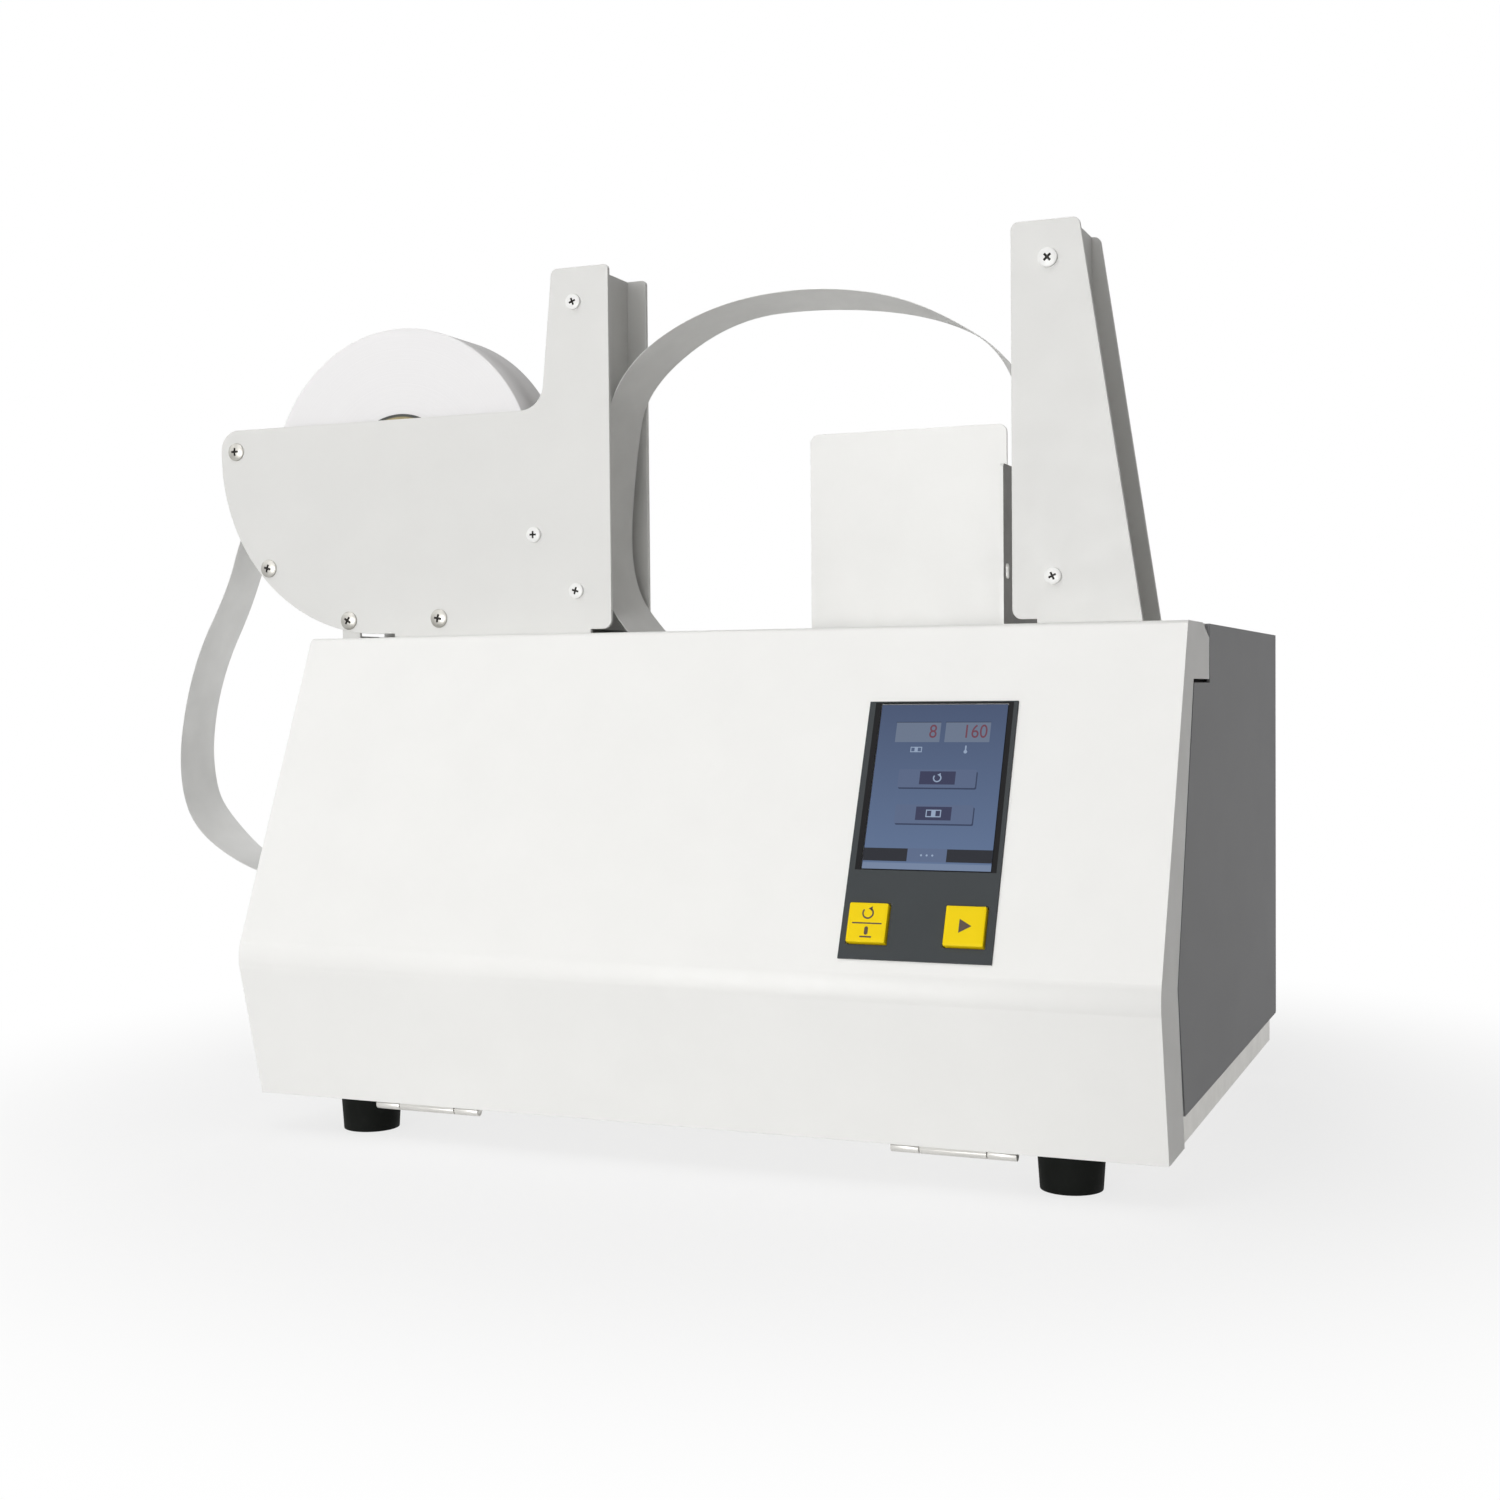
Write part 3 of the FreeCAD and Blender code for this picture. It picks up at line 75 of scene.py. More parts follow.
NOISE_LOW, NOISE_HIGH = 0.3, 0.7


def new_material(name):
    material = bpy.data.materials.new(name)
    material.use_nodes = True
    nodes = material.node_tree.nodes
    return material, nodes, material.node_tree.links, nodes["Principled BSDF"]


def noise(nodes, links, size, detail=3.0):
    """Noise in the object's own space; `size` is its grain in metres."""
    coords = nodes.new("ShaderNodeTexCoord")
    texture = nodes.new("ShaderNodeTexNoise")
    texture.inputs["Scale"].default_value = 1 / size
    texture.inputs["Detail"].default_value = detail
    links.new(coords.outputs["Object"], texture.inputs["Vector"])
    return texture.outputs["Fac"]


def between(nodes, links, factor, low, high):
    """A number that runs from low to high with the factor."""
    span = nodes.new("ShaderNodeMapRange")
    span.inputs["From Min"].default_value = NOISE_LOW
    span.inputs["From Max"].default_value = NOISE_HIGH
    span.inputs["To Min"].default_value = low
    span.inputs["To Max"].default_value = high
    links.new(factor, span.inputs["Value"])
    return span.outputs["Result"]


def tint(nodes, links, factor, dark, light):
    """A colour that runs from dark to light with the factor."""
    ramp = nodes.new("ShaderNodeValToRGB")
    ramp.color_ramp.elements[0].position = NOISE_LOW
    ramp.color_ramp.elements[0].color = (*dark, 1)
    ramp.color_ramp.elements[1].position = NOISE_HIGH
    ramp.color_ramp.elements[1].color = (*light, 1)
    links.new(factor, ramp.inputs["Fac"])
    return ramp.outputs["Color"]


def relief(nodes, links, shader, height, depth):
    bump = nodes.new("ShaderNodeBump")
    bump.inputs["Strength"].default_value = 1.0
    bump.inputs["Distance"].default_value = depth
    links.new(height, bump.inputs["Height"])
    links.new(bump.outputs["Normal"], shader.inputs["Normal"])


def surface(name, colour, roughness, metallic=0.0, mottle=0.03, patch=30 * MM, grain=0.7 * MM,
            depth=0.01 * MM, gloss=0.5, uneven=0.1):
    """A coated, moulded or metal surface: patchy colour, uneven sheen and a fine grain."""
    material, nodes, links, shader = new_material(name)
    dark = [value * (1 - mottle) for value in colour]
    light = [min(1, value * (1 + mottle)) for value in colour]
    links.new(tint(nodes, links, noise(nodes, links, patch), dark, light), shader.inputs["Base Color"])
    sheen = noise(nodes, links, patch / 3, 4.0)
    links.new(between(nodes, links, sheen, roughness * (1 - uneven), roughness * (1 + uneven)),
              shader.inputs["Roughness"])
    relief(nodes, links, shader, noise(nodes, links, grain, 2.0), depth)
    shader.inputs["Metallic"].default_value = metallic
    shader.inputs["Specular IOR Level"].default_value = gloss
    return material


PICTURE_FOOT = DECK_TOP - 93 * MM
PICTURE_TOP = DECK_TOP - 31 * MM
TOP_SHARE = 0.9


def lit(name, colour, top_colour=None):
    """A patch of a lit display: a glow that changes from the display's foot to its top."""
    material, nodes, links, shader = new_material(name)
    shader.inputs["Base Color"].default_value = (0.008, 0.008, 0.010, 1)
    shader.inputs["Roughness"].default_value = 0.4
    shader.inputs["Specular IOR Level"].default_value = 0.05
    shader.inputs["Emission Strength"].default_value = 1.0
    coords = nodes.new("ShaderNodeTexCoord")
    split = nodes.new("ShaderNodeSeparateXYZ")
    span = nodes.new("ShaderNodeMapRange")
    span.inputs["From Min"].default_value = PICTURE_FOOT
    span.inputs["From Max"].default_value = PICTURE_TOP
    links.new(coords.outputs["Object"], split.inputs["Vector"])
    links.new(split.outputs["Z"], span.inputs["Value"])
    ramp = nodes.new("ShaderNodeValToRGB")
    ramp.color_ramp.elements[0].color = (*colour, 1)
    ramp.color_ramp.elements[1].color = (*(top_colour or [value * TOP_SHARE for value in colour]), 1)
    links.new(span.outputs["Result"], ramp.inputs["Fac"])
    links.new(ramp.outputs["Color"], shader.inputs["Emission Color"])
    return material


def thin_paper(name, through_share, roughness, gloss):
    """White paper, thin enough to glow a little where the light is behind it."""
    material, nodes, links, shader = new_material(name)
    colour = tint(nodes, links, noise(nodes, links, 12 * MM), (0.83, 0.83, 0.82), (0.87, 0.87, 0.86))
    links.new(colour, shader.inputs["Base Color"])
    shader.inputs["Roughness"].default_value = roughness
    shader.inputs["Specular IOR Level"].default_value = gloss
    relief(nodes, links, shader, noise(nodes, links, 0.3 * MM, 2.0), 0.003 * MM)
    through = nodes.new("ShaderNodeBsdfTranslucent")
    links.new(colour, through.inputs["Color"])
    mix = nodes.new("ShaderNodeMixShader")
    mix.inputs["Fac"].default_value = through_share
    links.new(shader.outputs["BSDF"], mix.inputs[1])
    links.new(through.outputs["BSDF"], mix.inputs[2])
    links.new(mix.outputs["Shader"], nodes["Material Output"].inputs["Surface"])
    return material


def roll_distance(nodes, links):
    """How far a point is from the roll's axis."""
    coords = nodes.new("ShaderNodeTexCoord")
    offset = nodes.new("ShaderNodeVectorMath")
    offset.operation = "SUBTRACT"
    offset.inputs[1].default_value = ROLL_CENTRE
    links.new(coords.outputs["Object"], offset.inputs[0])
    flat = nodes.new("ShaderNodeVectorMath")
    flat.operation = "MULTIPLY"
    flat.inputs[1].default_value = (1, 0, 1)
    links.new(offset.outputs["Vector"], flat.inputs[0])
    length = nodes.new("ShaderNodeVectorMath")
    length.operation = "LENGTH"
    links.new(flat.outputs["Vector"], length.inputs[0])
    return length.outputs["Value"]


def wound_paper():
    """White paper whose sides show the turns of the roll as faint, fine rings."""
    material, nodes, links, shader = new_material("roll_paper")
    turns = nodes.new("ShaderNodeTexNoise")
    turns.noise_dimensions = "1D"
    turns.inputs["Scale"].default_value = 1 / (0.6 * MM)
    turns.inputs["Detail"].default_value = 4.0
    links.new(roll_distance(nodes, links), turns.inputs["W"])
    links.new(tint(nodes, links, turns.outputs["Fac"], (0.818, 0.812, 0.818), (0.838, 0.832, 0.838)),
              shader.inputs["Base Color"])
    relief(nodes, links, shader, turns.outputs["Fac"], 0.006 * MM)
    shader.inputs["Roughness"].default_value = 0.8
    return material


# Width and blur of the dark ring of painted shade at the core's outer edge, where the paper meets it.
SHADE_RING_WIDTH = 1.0 * MM
SHADE_RING_BLUR = 0.6 * MM


def wound_card():
    """Tan card that turns near black at its outer edge: painted shade of the gap where the paper meets the
    core.
    """
    material, nodes, links, shader = new_material("core_card")
    card = tint(nodes, links, noise(nodes, links, 3 * MM), (0.36, 0.30, 0.16), (0.46, 0.39, 0.22))
    # Painted shade: the card runs to near black over its outer ring.
    rim = nodes.new("ShaderNodeMapRange")
    rim.inputs["From Min"].default_value = CORE_RADIUS - SHADE_RING_WIDTH - SHADE_RING_BLUR
    rim.inputs["From Max"].default_value = CORE_RADIUS - SHADE_RING_WIDTH
    links.new(roll_distance(nodes, links), rim.inputs["Value"])
    mix = nodes.new("ShaderNodeMix")
    mix.data_type = "RGBA"
    mix.inputs["B"].default_value = (0.075, 0.080, 0.075, 1)
    links.new(rim.outputs["Result"], mix.inputs["Factor"])
    links.new(card, mix.inputs["A"])
    links.new(mix.outputs["Result"], shader.inputs["Base Color"])
    shader.inputs["Roughness"].default_value = 0.85
    return material


# Each surface's colour and roughness, and what differs from the usual values in surface().
SURFACES = {
    # The record's slots.
    "cover_paint": dict(colour=(0.86, 0.86, 0.845), roughness=0.48, grain=0.5 * MM, mottle=0.01),
    "tower_paint": dict(colour=(0.70, 0.70, 0.685), roughness=0.50, grain=0.5 * MM, mottle=0.012),
    "shell_paint": dict(colour=(0.298, 0.301, 0.313), roughness=0.62, mottle=0.008, patch=60 * MM,
                        grain=0.4 * MM, depth=0.02 * MM, gloss=0.25, uneven=0.02),
    "deck_steel": dict(colour=(0.85, 0.85, 0.835), roughness=0.50, grain=0.5 * MM, mottle=0.012),
    "base_steel": dict(colour=(0.70, 0.69, 0.66), roughness=0.42, metallic=0.6, mottle=0.05, patch=14 * MM),
    "foot_rubber": dict(colour=(0.007, 0.008, 0.007), roughness=0.72, grain=0.35 * MM, depth=0.03 * MM,
                        gloss=0.1),
    "steel_pin": dict(colour=(0.62, 0.61, 0.58), roughness=0.28, metallic=1.0, mottle=0.06, patch=6 * MM),
    "white_screw": dict(colour=(0.82, 0.82, 0.81), roughness=0.36, mottle=0.02, patch=3 * MM),
    "hub_plastic": dict(colour=(0.03, 0.03, 0.032), roughness=0.45, grain=0.4 * MM),
    "overlay_film": dict(colour=(0.050, 0.056, 0.060), roughness=0.45, grain=0.25 * MM, depth=0.008 * MM,
                         gloss=0.12),
    "screen_glass": dict(colour=(0.022, 0.026, 0.035), roughness=0.18, mottle=0.05, depth=0.001 * MM,
                         gloss=0.25),
    "module_plastic": dict(colour=(0.05, 0.05, 0.055), roughness=0.5),
    "key_yellow": dict(colour=(0.89, 0.65, 0.003), roughness=0.40, mottle=0.015, depth=0.004 * MM,
                       gloss=0.12),
    "board_green": dict(colour=(0.02, 0.13, 0.05), roughness=0.4, mottle=0.15, patch=8 * MM),
    "plate_steel": dict(colour=(0.62, 0.62, 0.60), roughness=0.38, metallic=0.9, mottle=0.07,
                        patch=18 * MM),
    "bush_brass": dict(colour=(0.55, 0.40, 0.18), roughness=0.42, metallic=1.0, mottle=0.08, patch=4 * MM),
    "roller_rubber": dict(colour=(0.03, 0.03, 0.03), roughness=0.78, depth=0.03 * MM),
    "gear_nylon": dict(colour=(0.76, 0.74, 0.67), roughness=0.45, mottle=0.03, patch=8 * MM),
    "pinion_brass": dict(colour=(0.70, 0.52, 0.22), roughness=0.30, metallic=1.0, mottle=0.06,
                         patch=4 * MM),
    "motor_can": dict(colour=(0.50, 0.50, 0.50), roughness=0.34, metallic=1.0, mottle=0.06, patch=10 * MM),
    "chute_sheet": dict(colour=(0.62, 0.62, 0.60), roughness=0.5),
    "cam_steel": dict(colour=(0.45, 0.45, 0.45), roughness=0.30, metallic=1.0, mottle=0.06, patch=5 * MM),
    "heater_aluminium": dict(colour=(0.72, 0.72, 0.71), roughness=0.34, metallic=1.0, mottle=0.05),
    "supply_case": dict(colour=(0.58, 0.58, 0.57), roughness=0.40, metallic=0.9, mottle=0.08,
                        patch=18 * MM),
    "black_plastic": dict(colour=(0.016, 0.016, 0.017), roughness=0.42, grain=0.4 * MM, depth=0.015 * MM,
                          gloss=0.3),
    # Looks of pieces that only this script makes, and the back stop's.
    "screw_steel": dict(colour=(0.44, 0.43, 0.40), roughness=0.42, metallic=1.0, mottle=0.1, patch=2 * MM),
    # Painted shade: a near black for the inside of the screws' cross recesses.
    "painted_recess_shade": dict(colour=(0.055, 0.052, 0.048), roughness=0.6, mottle=0.15, patch=1 * MM, gloss=0.2),
    # Painted light: a paler copy of the cover paint that brightens the back stop where the tower plates
    # shade it.
    "stop_paint_lightened": dict(colour=(0.88, 0.88, 0.865), roughness=0.48, grain=0.5 * MM, mottle=0.01),
    # Painted shade: a dark grey for the side guide's left- and right-facing faces, which stand in the
    # tower's shade.
    "guide_side_shade": dict(colour=(0.25, 0.245, 0.235), roughness=0.55, mottle=0.05, patch=12 * MM, gloss=0.25),
    "bezel_black": dict(colour=(0.010, 0.010, 0.011), roughness=0.5, depth=0.001 * MM, gloss=0.1),
    "key_ink": dict(colour=(0.05, 0.025, 0.012), roughness=0.5, mottle=0.1, patch=2 * MM),
}

# The display's colours: at its foot and, where it isn't just a tenth weaker, at its top.
LIT = {
    "picture_blue": [(0.112, 0.166, 0.285), (0.060, 0.086, 0.158)],
    "picture_field": [(0.150, 0.190, 0.270)],
    "picture_dark": [(0.030, 0.040, 0.075)],
    "picture_key": [(0.105, 0.145, 0.245), (0.085, 0.115, 0.200)],
    "picture_shade": [(0.035, 0.050, 0.100)],
    "picture_label": [(0.040, 0.045, 0.095)],
    "picture_status": [(0.022, 0.024, 0.030)],
    "picture_strip": [(0.170, 0.225, 0.340)],
    "picture_mark": [(0.300, 0.380, 0.520)],
    "picture_red": [(0.165, 0.055, 0.080)],
}

MATERIALS = {name: surface(name, **values) for name, values in SURFACES.items()}
MATERIALS.update({name: lit(name, *colours) for name, colours in LIT.items()})
MATERIALS["paper_tape"] = thin_paper("paper_tape", through_share=0.14, roughness=0.75, gloss=0.12)
# Painted light: the feed loop is the same paper as the arch, set to let far more light through and to shine
# more, so that it renders brighter.
MATERIALS["loop_paper_brightened"] = thin_paper("loop_paper_brightened", through_share=0.60, roughness=0.36, gloss=0.5)
MATERIALS["roll_paper"] = wound_paper()
MATERIALS["core_card"] = wound_card()


# ---------- CAD nodes ----------

EDGE_WIDTH = 0.2 * MM


def dress_nodes():
    """Every CAD node takes its slot's material, the back stop a paler copy of its paint as painted light,
    and small rounded edges.
    """
    for entry in frame["record"]["subparts"]:
        node = frame["nodes"][entry["node"]]
        look = "stop_paint_lightened" if entry["node"] == "back_stop" else entry["material_slot"]
        node.data.materials.clear()
        node.data.materials.append(MATERIALS[look])
        soften(node, EDGE_WIDTH)


def soften(item, width):
    """Join the facets of flat faces, then round the edges a little."""
    weld = item.modifiers.new("weld", "WELD")
    weld.merge_threshold = 0.002 * MM
    flat = item.modifiers.new("flat", "DECIMATE")
    flat.decimate_type = "DISSOLVE"
    flat.angle_limit = math.radians(0.5)
    bevel = item.modifiers.new("bevel", "BEVEL")
    bevel.width = width
    bevel.segments = 2
    bevel.limit_method = "ANGLE"
    bevel.angle_limit = math.radians(35)
    bevel.harden_normals = True


def islands(node):
    """The lowest and highest corner of each separate solid of a CAD node."""
    mesh = frame["nodes"][node].data
    form = bmesh.new()
    form.from_mesh(mesh)
    bmesh.ops.remove_doubles(form, verts=form.verts, dist=SAME_SPOT)
    waiting = set(form.verts)
    boxes = []
    while waiting:
        reached = [waiting.pop()]
        for vertex in reached:
            for edge in vertex.link_edges:
                other = edge.other_vert(vertex)
                if other in waiting:
                    waiting.discard(other)
                    reached.append(other)
        spots = [vertex.co for vertex in reached]
        low = Vector([min(spot[axis] for spot in spots) for axis in range(3)])
        high = Vector([max(spot[axis] for spot in spots) for axis in range(3)])
        boxes.append((low, high))
    form.free()
    return sorted(boxes, key=lambda corners: tuple(round(value, 5) for value in corners[0]))


# ---------- making pieces ----------


def piece(name, form, material, body, replaces=(), smooth=40, second=None):
    """Turn a bmesh into an object on a body; faces with material index 1 get the second material."""
    bmesh.ops.recalc_face_normals(form, faces=form.faces)
    mesh = bpy.data.meshes.new(name)
    form.to_mesh(mesh)
    form.free()
    mesh.polygons.foreach_set("use_smooth", [True] * len(mesh.polygons))
    mesh.set_sharp_from_angle(angle=math.radians(smooth))
    mesh.materials.append(MATERIALS[material])
    if second:
        mesh.materials.append(MATERIALS[second])
    item = bpy.data.objects.new(name, mesh)
    bpy.context.scene.collection.objects.link(item)
    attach(item, body)
    if replaces:
        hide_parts(*replaces)


def evaluated(item):
    """The mesh of an object with its modifiers applied, and the object itself gone."""
    graph = bpy.context.evaluated_depsgraph_get()
    mesh = bpy.data.meshes.new_from_object(item.evaluated_get(graph))
    bpy.data.objects.remove(item)
    return mesh


def loose_object(name, form):
    mesh = bpy.data.meshes.new(name)
    form.to_mesh(mesh)
    form.free()
    item = bpy.data.objects.new(name, mesh)
    bpy.context.scene.collection.objects.link(item)
    return item


def revolve(form, profile, steps=48, turn=Matrix()):
    """Spin a profile of (radius, height) points about Z, then place it with a matrix."""
    rings = []
    for radius, height in profile:
        if radius < SAME_SPOT:
            rings.append([form.verts.new(turn @ Vector((0, 0, height)))])
            continue
        ring = []
        for step in range(steps):
            angle = 2 * math.pi * step / steps
            spot = Vector((radius * math.cos(angle), radius * math.sin(angle), height))
            ring.append(form.verts.new(turn @ spot))
        rings.append(ring)
    for lower, upper in zip(rings, rings[1:]):
        for step in range(steps):
            corners = [lower[step % len(lower)], lower[(step + 1) % len(lower)],
                       upper[(step + 1) % len(upper)], upper[step % len(upper)]]
            form.faces.new(list(dict.fromkeys(corners)))


def arc(centre, radius, start, end, steps=6):
    """Points on a circle, from one angle to another in degrees."""
    x, y = centre
    angles = [math.radians(start + (end - start) * step / steps) for step in range(steps + 1)]
    return [(x + radius * math.cos(angle), y + radius * math.sin(angle)) for angle in angles]


def rectangle(left, top, right, bottom):
    return [(left, top), (right, top), (right, bottom), (left, bottom)]


def rounded(left, top, right, bottom, radius):
    """A rectangle with round corners."""
    return (arc((right - radius, bottom - radius), radius, 0, 90)
            + arc((left + radius, bottom - radius), radius, 90, 180)
            + arc((left + radius, top + radius), radius, 180, 270)
            + arc((right - radius, top + radius), radius, 270, 360))


def bridge(form, low, high):
    """Faces between two closed outlines of vertices."""
    for index in range(len(low)):
        following = (index + 1) % len(low)
        form.faces.new([low[index], high[index], high[following], low[following]])


def prism(form, low, high):
    """A closed solid between two outlines of vertices."""
    form.faces.new(low)
    form.faces.new(list(reversed(high)))
    bridge(form, low, high)


# ---------- screws ----------

def screw_profile(radius, height, crown):
    """A head's half section, from its seat's rim to the middle of its top."""
    edge = 0.25 * MM
    rim = arc((radius - edge, height - crown - edge), edge, 0, 70, 3)
    top = [(radius * share, height - crown * share ** 2) for share in (0.8, 0.6, 0.4, 0.2, 0)]
    return [(0, 0), (radius, 0)] + rim + top


def cross_cutter(radius, height):
    """A tapered cross that sinks into a head."""
    form = bmesh.new()
    top = (height + 0.2 * MM, 0.52 * radius, 0.13 * radius)
    bottom = (0.25 * height, 0.26 * radius, 0.09 * radius)
    for turn in (0, 90):
        spin = Matrix.Rotation(math.radians(turn), 4, "Z")
        ends = []
        for level, half_long, half_wide in (top, bottom):
            ends.append([form.verts.new(spin @ Vector((x * half_long, y * half_wide, level)))
                         for x, y in ((1, 1), (-1, 1), (-1, -1), (1, -1))])
        prism(form, *ends)
    bmesh.ops.recalc_face_normals(form, faces=form.faces)
    return loose_object("cutter", form)


def screw_head(radius, height, crown):
    """A head with its cross recess, on the origin and facing +Z; the recess has material index 1, for the
    painted shade inside it.
    """
    form = bmesh.new()
    revolve(form, screw_profile(radius, height, crown))
    bmesh.ops.recalc_face_normals(form, faces=form.faces)
    head = loose_object("head", form)
    cutter = cross_cutter(radius, height)
    recess = head.modifiers.new("recess", "BOOLEAN")
    recess.operation = "DIFFERENCE"
    recess.solver = "EXACT"
    recess.use_self = True
    recess.object = cutter
    mesh = evaluated(head)
    bpy.data.objects.remove(cutter)
    for face in mesh.polygons:
        reach = math.hypot(face.center.x, face.center.y)
        surface_height = height - crown * (reach / radius) ** 2
        if reach < 0.6 * radius and 0.02 * MM < face.center.z < surface_height - 0.05 * MM:
            face.material_index = 1
    return mesh


HIGH_SCREW_X = 100 * MM
HIGH_SCREW_RISE = 100 * MM
HIGH_SCREW_SIZE = 1.14
SCREW_TURN = 37


def make_screws(name, node, material, size, crown):
    """A detailed head at each of a node's plain ones; those high on the guide tower are larger."""
    form = bmesh.new()
    for index, (low, high) in enumerate(islands(node)):
        high_right = low.x > HIGH_SCREW_X and low.z > DECK_TOP + HIGH_SCREW_RISE
        radius = (high.x - low.x) / 2 * size * (HIGH_SCREW_SIZE if high_right else 1)
        height = high.y - low.y
        front = high.y < ROLL_CENTRE.y
        seat = high.y if front else low.y
        place = Vector(((low.x + high.x) / 2, seat, (low.z + high.z) / 2))
        mesh = screw_head(radius, height, crown * height)
        mesh.transform(Matrix.Translation(place)
                       @ Matrix.Rotation(math.radians(90 if front else -90), 4, "X")
                       @ Matrix.Rotation(math.radians(SCREW_TURN * index), 4, "Z"))
        form.from_mesh(mesh)
        bpy.data.meshes.remove(mesh)
    # The cross recesses take a painted shade.
    piece(name, form, material, "chassis", (node,), smooth=30, second="painted_recess_shade")


# ---------- paper ----------

def make_roll_paper():
    """The wound paper: its sides show rings of slightly uneven turns."""
    rings = 36
    width = TAPE_BACK - TAPE_FRONT
    edge = 0.15 * MM
    inner = CORE_RADIUS
    side = []
    for index in range(rings + 1):
        wobble = 0.012 * MM * math.sin(2.3 * index) + 0.01 * MM * math.sin(5.1 * index + 1)
        side.append((inner + (ROLL_RADIUS - edge - inner) * index / rings, wobble))
    front = [(radius, -shift) for radius, shift in side]
    back = [(radius, -width + shift) for radius, shift in reversed(side)]
    profile = front + [(ROLL_RADIUS, -edge), (ROLL_RADIUS, -width + edge)] + back + [front[0]]
    form = bmesh.new()
    place = Matrix.Translation((ROLL_CENTRE.x, TAPE_FRONT, ROLL_CENTRE.z))
    revolve(form, profile, 160, place @ Matrix.Rotation(math.pi / 2, 4, "X"))
    bmesh.ops.remove_doubles(form, verts=form.verts, dist=SAME_SPOT)
    piece("wound_paper", form, "roll_paper", "tape_roll", ("tape_roll_paper",), smooth=50)


def smooth_route(points):
    """Points along a NURBS line through the frame's X and Z, in metres; the route is in millimetres."""
    data = bpy.data.curves.new("route", "CURVE")
    data.dimensions = "3D"
    data.resolution_u = 16
    spline = data.splines.new("NURBS")
    spline.points.add(len(points) - 1)
    for point, (x, z) in zip(spline.points, points):
        point.co = (x * MM, 0, z * MM, 1)
    spline.order_u = 3
    spline.use_endpoint_u = True
    item = bpy.data.objects.new("route", data)
    bpy.context.scene.collection.objects.link(item)
    mesh = evaluated(item)
    spots = [vertex.co.copy() for vertex in mesh.vertices]
    bpy.data.meshes.remove(mesh)
    return spots


def make_tape(name, node, material, origin, front_route, back_route, bow):
    """A thin ribbon between the lines of its front and back edges, bowed across its width."""
    columns = 8
    half_thick = 0.08 * MM
    edges = [[origin + spot for spot in smooth_route(route)] for route in (front_route, back_route)]
    form = bmesh.new()
    rows = []
    last = len(edges[0]) - 1
    for index in range(last + 1):
        row = []
        for column in range(columns + 1):
            across = column / columns
            before, spot, after = [edges[0][at].lerp(edges[1][at], across)
                                   for at in (max(index - 1, 0), index, min(index + 1, last))]
            ahead = after - before
            normal = Vector((-ahead.z, 0, ahead.x)).normalized()
            place = spot + normal * bow * 4 * across * (1 - across)
            place.y = TAPE_FRONT + (TAPE_BACK - TAPE_FRONT) * across
            row.append((form.verts.new(place + normal * half_thick),
                        form.verts.new(place - normal * half_thick)))
        rows.append(row)
    for lower, upper in zip(rows, rows[1:]):
        for column in range(columns):
            for side in (0, 1):
                form.faces.new([lower[column][side], lower[column + 1][side],
                                upper[column + 1][side], upper[column][side]])
        for column in (0, columns):
            form.faces.new([lower[column][0], upper[column][0], upper[column][1], lower[column][1]])
    for row in (rows[0], rows[-1]):
        for column in range(columns):
            form.faces.new([row[column][0], row[column + 1][0], row[column + 1][1], row[column][1]])
    piece(name, form, material, "chassis", (node,), smooth=60)


# The loop's routes are millimetres from the roll's centre, the arch's from the deck's top at X 0.
LOOP_FRONT = [(-64.8, 23.6), (-87.3, -20.0), (-95.3, -45.8), (-114.5, -77.6), (-124.4, -114.1),
              (-124.8, -140.4), (-117.4, -159.0), (-98.1, -172.9), (-73.5, -182.2), (-44.2, -182.3),
              (8.8, -182.7)]
LOOP_BACK = [(-64.8, 23.6), (-91.4, -18.5), (-102.7, -51.0), (-120.9, -83.6), (-129.0, -116.4),
             (-127.1, -142.2), (-119.0, -155.1), (-96.6, -175.4), (-73.8, -181.5), (-44.2, -182.3),
             (8.8, -182.7)]
ARCH_RIGHT_FOOT = [(132.8, 26.0), (132.3, 3.0), (131.8, 0.25), (128.0, 0.2), (121.0, 0.2), (118.0, -2.0),
                   (110.0, -9.0), (92.0, -20.0)]
ARCH_FRONT = [(-31.0, -20.0), (-52.0, 3.0), (-63.5, 23.0), (-63.0, 78.7), (-51.0, 115.4), (-12.5, 137.3),
              (35.9, 142.6), (83.3, 133.1), (126.9, 102.9), (129.3, 76.5)] + ARCH_RIGHT_FOOT
ARCH_BACK = [(-22.0, -20.0), (-45.0, 0.0), (-62.8, 26.0), (-58.4, 81.6), (-51.9, 111.0), (-11.3, 137.3),
             (35.1, 138.7), (81.0, 131.4), (111.6, 115.0), (122.2, 71.5)] + ARCH_RIGHT_FOOT


# ---------- side guide ----------

def flat_plate(outline, hole, thick):
    """A plate in its own XY plane, with a hole in it, as a mesh."""
    data = bpy.data.curves.new("plate", "CURVE")
    data.dimensions = "2D"
    data.fill_mode = "BOTH"
    data.extrude = thick / 2
    for points in (outline, hole):
        spline = data.splines.new("POLY")
        spline.points.add(len(points) - 1)
        for point, (x, y) in zip(spline.points, points):
            point.co = (x * MM, y * MM, 0, 1)
        spline.use_cyclic_u = True
    item = bpy.data.objects.new("plate", data)
    bpy.context.scene.collection.objects.link(item)
    return evaluated(item)


# The bent sheet's sizes in millimetres.
GUIDE_SHEET = 1.5
GUIDE_BEND = 3
GUIDE_HOLE = (4.0, 23, 9.6, 29.5)
HOLE_ROUND = 1.5
GUIDE_BACK = 3
GUIDE_ROUND = 2
TONGUE_REACH = 46
TONGUE_TOPS = (14, 12)
TONGUE_ROUND = 4
FOOT_REACH = 16
EAR_REACH = 12
EAR_OVERLAP = 0.4
EAR_LEVELS = (16, 58)

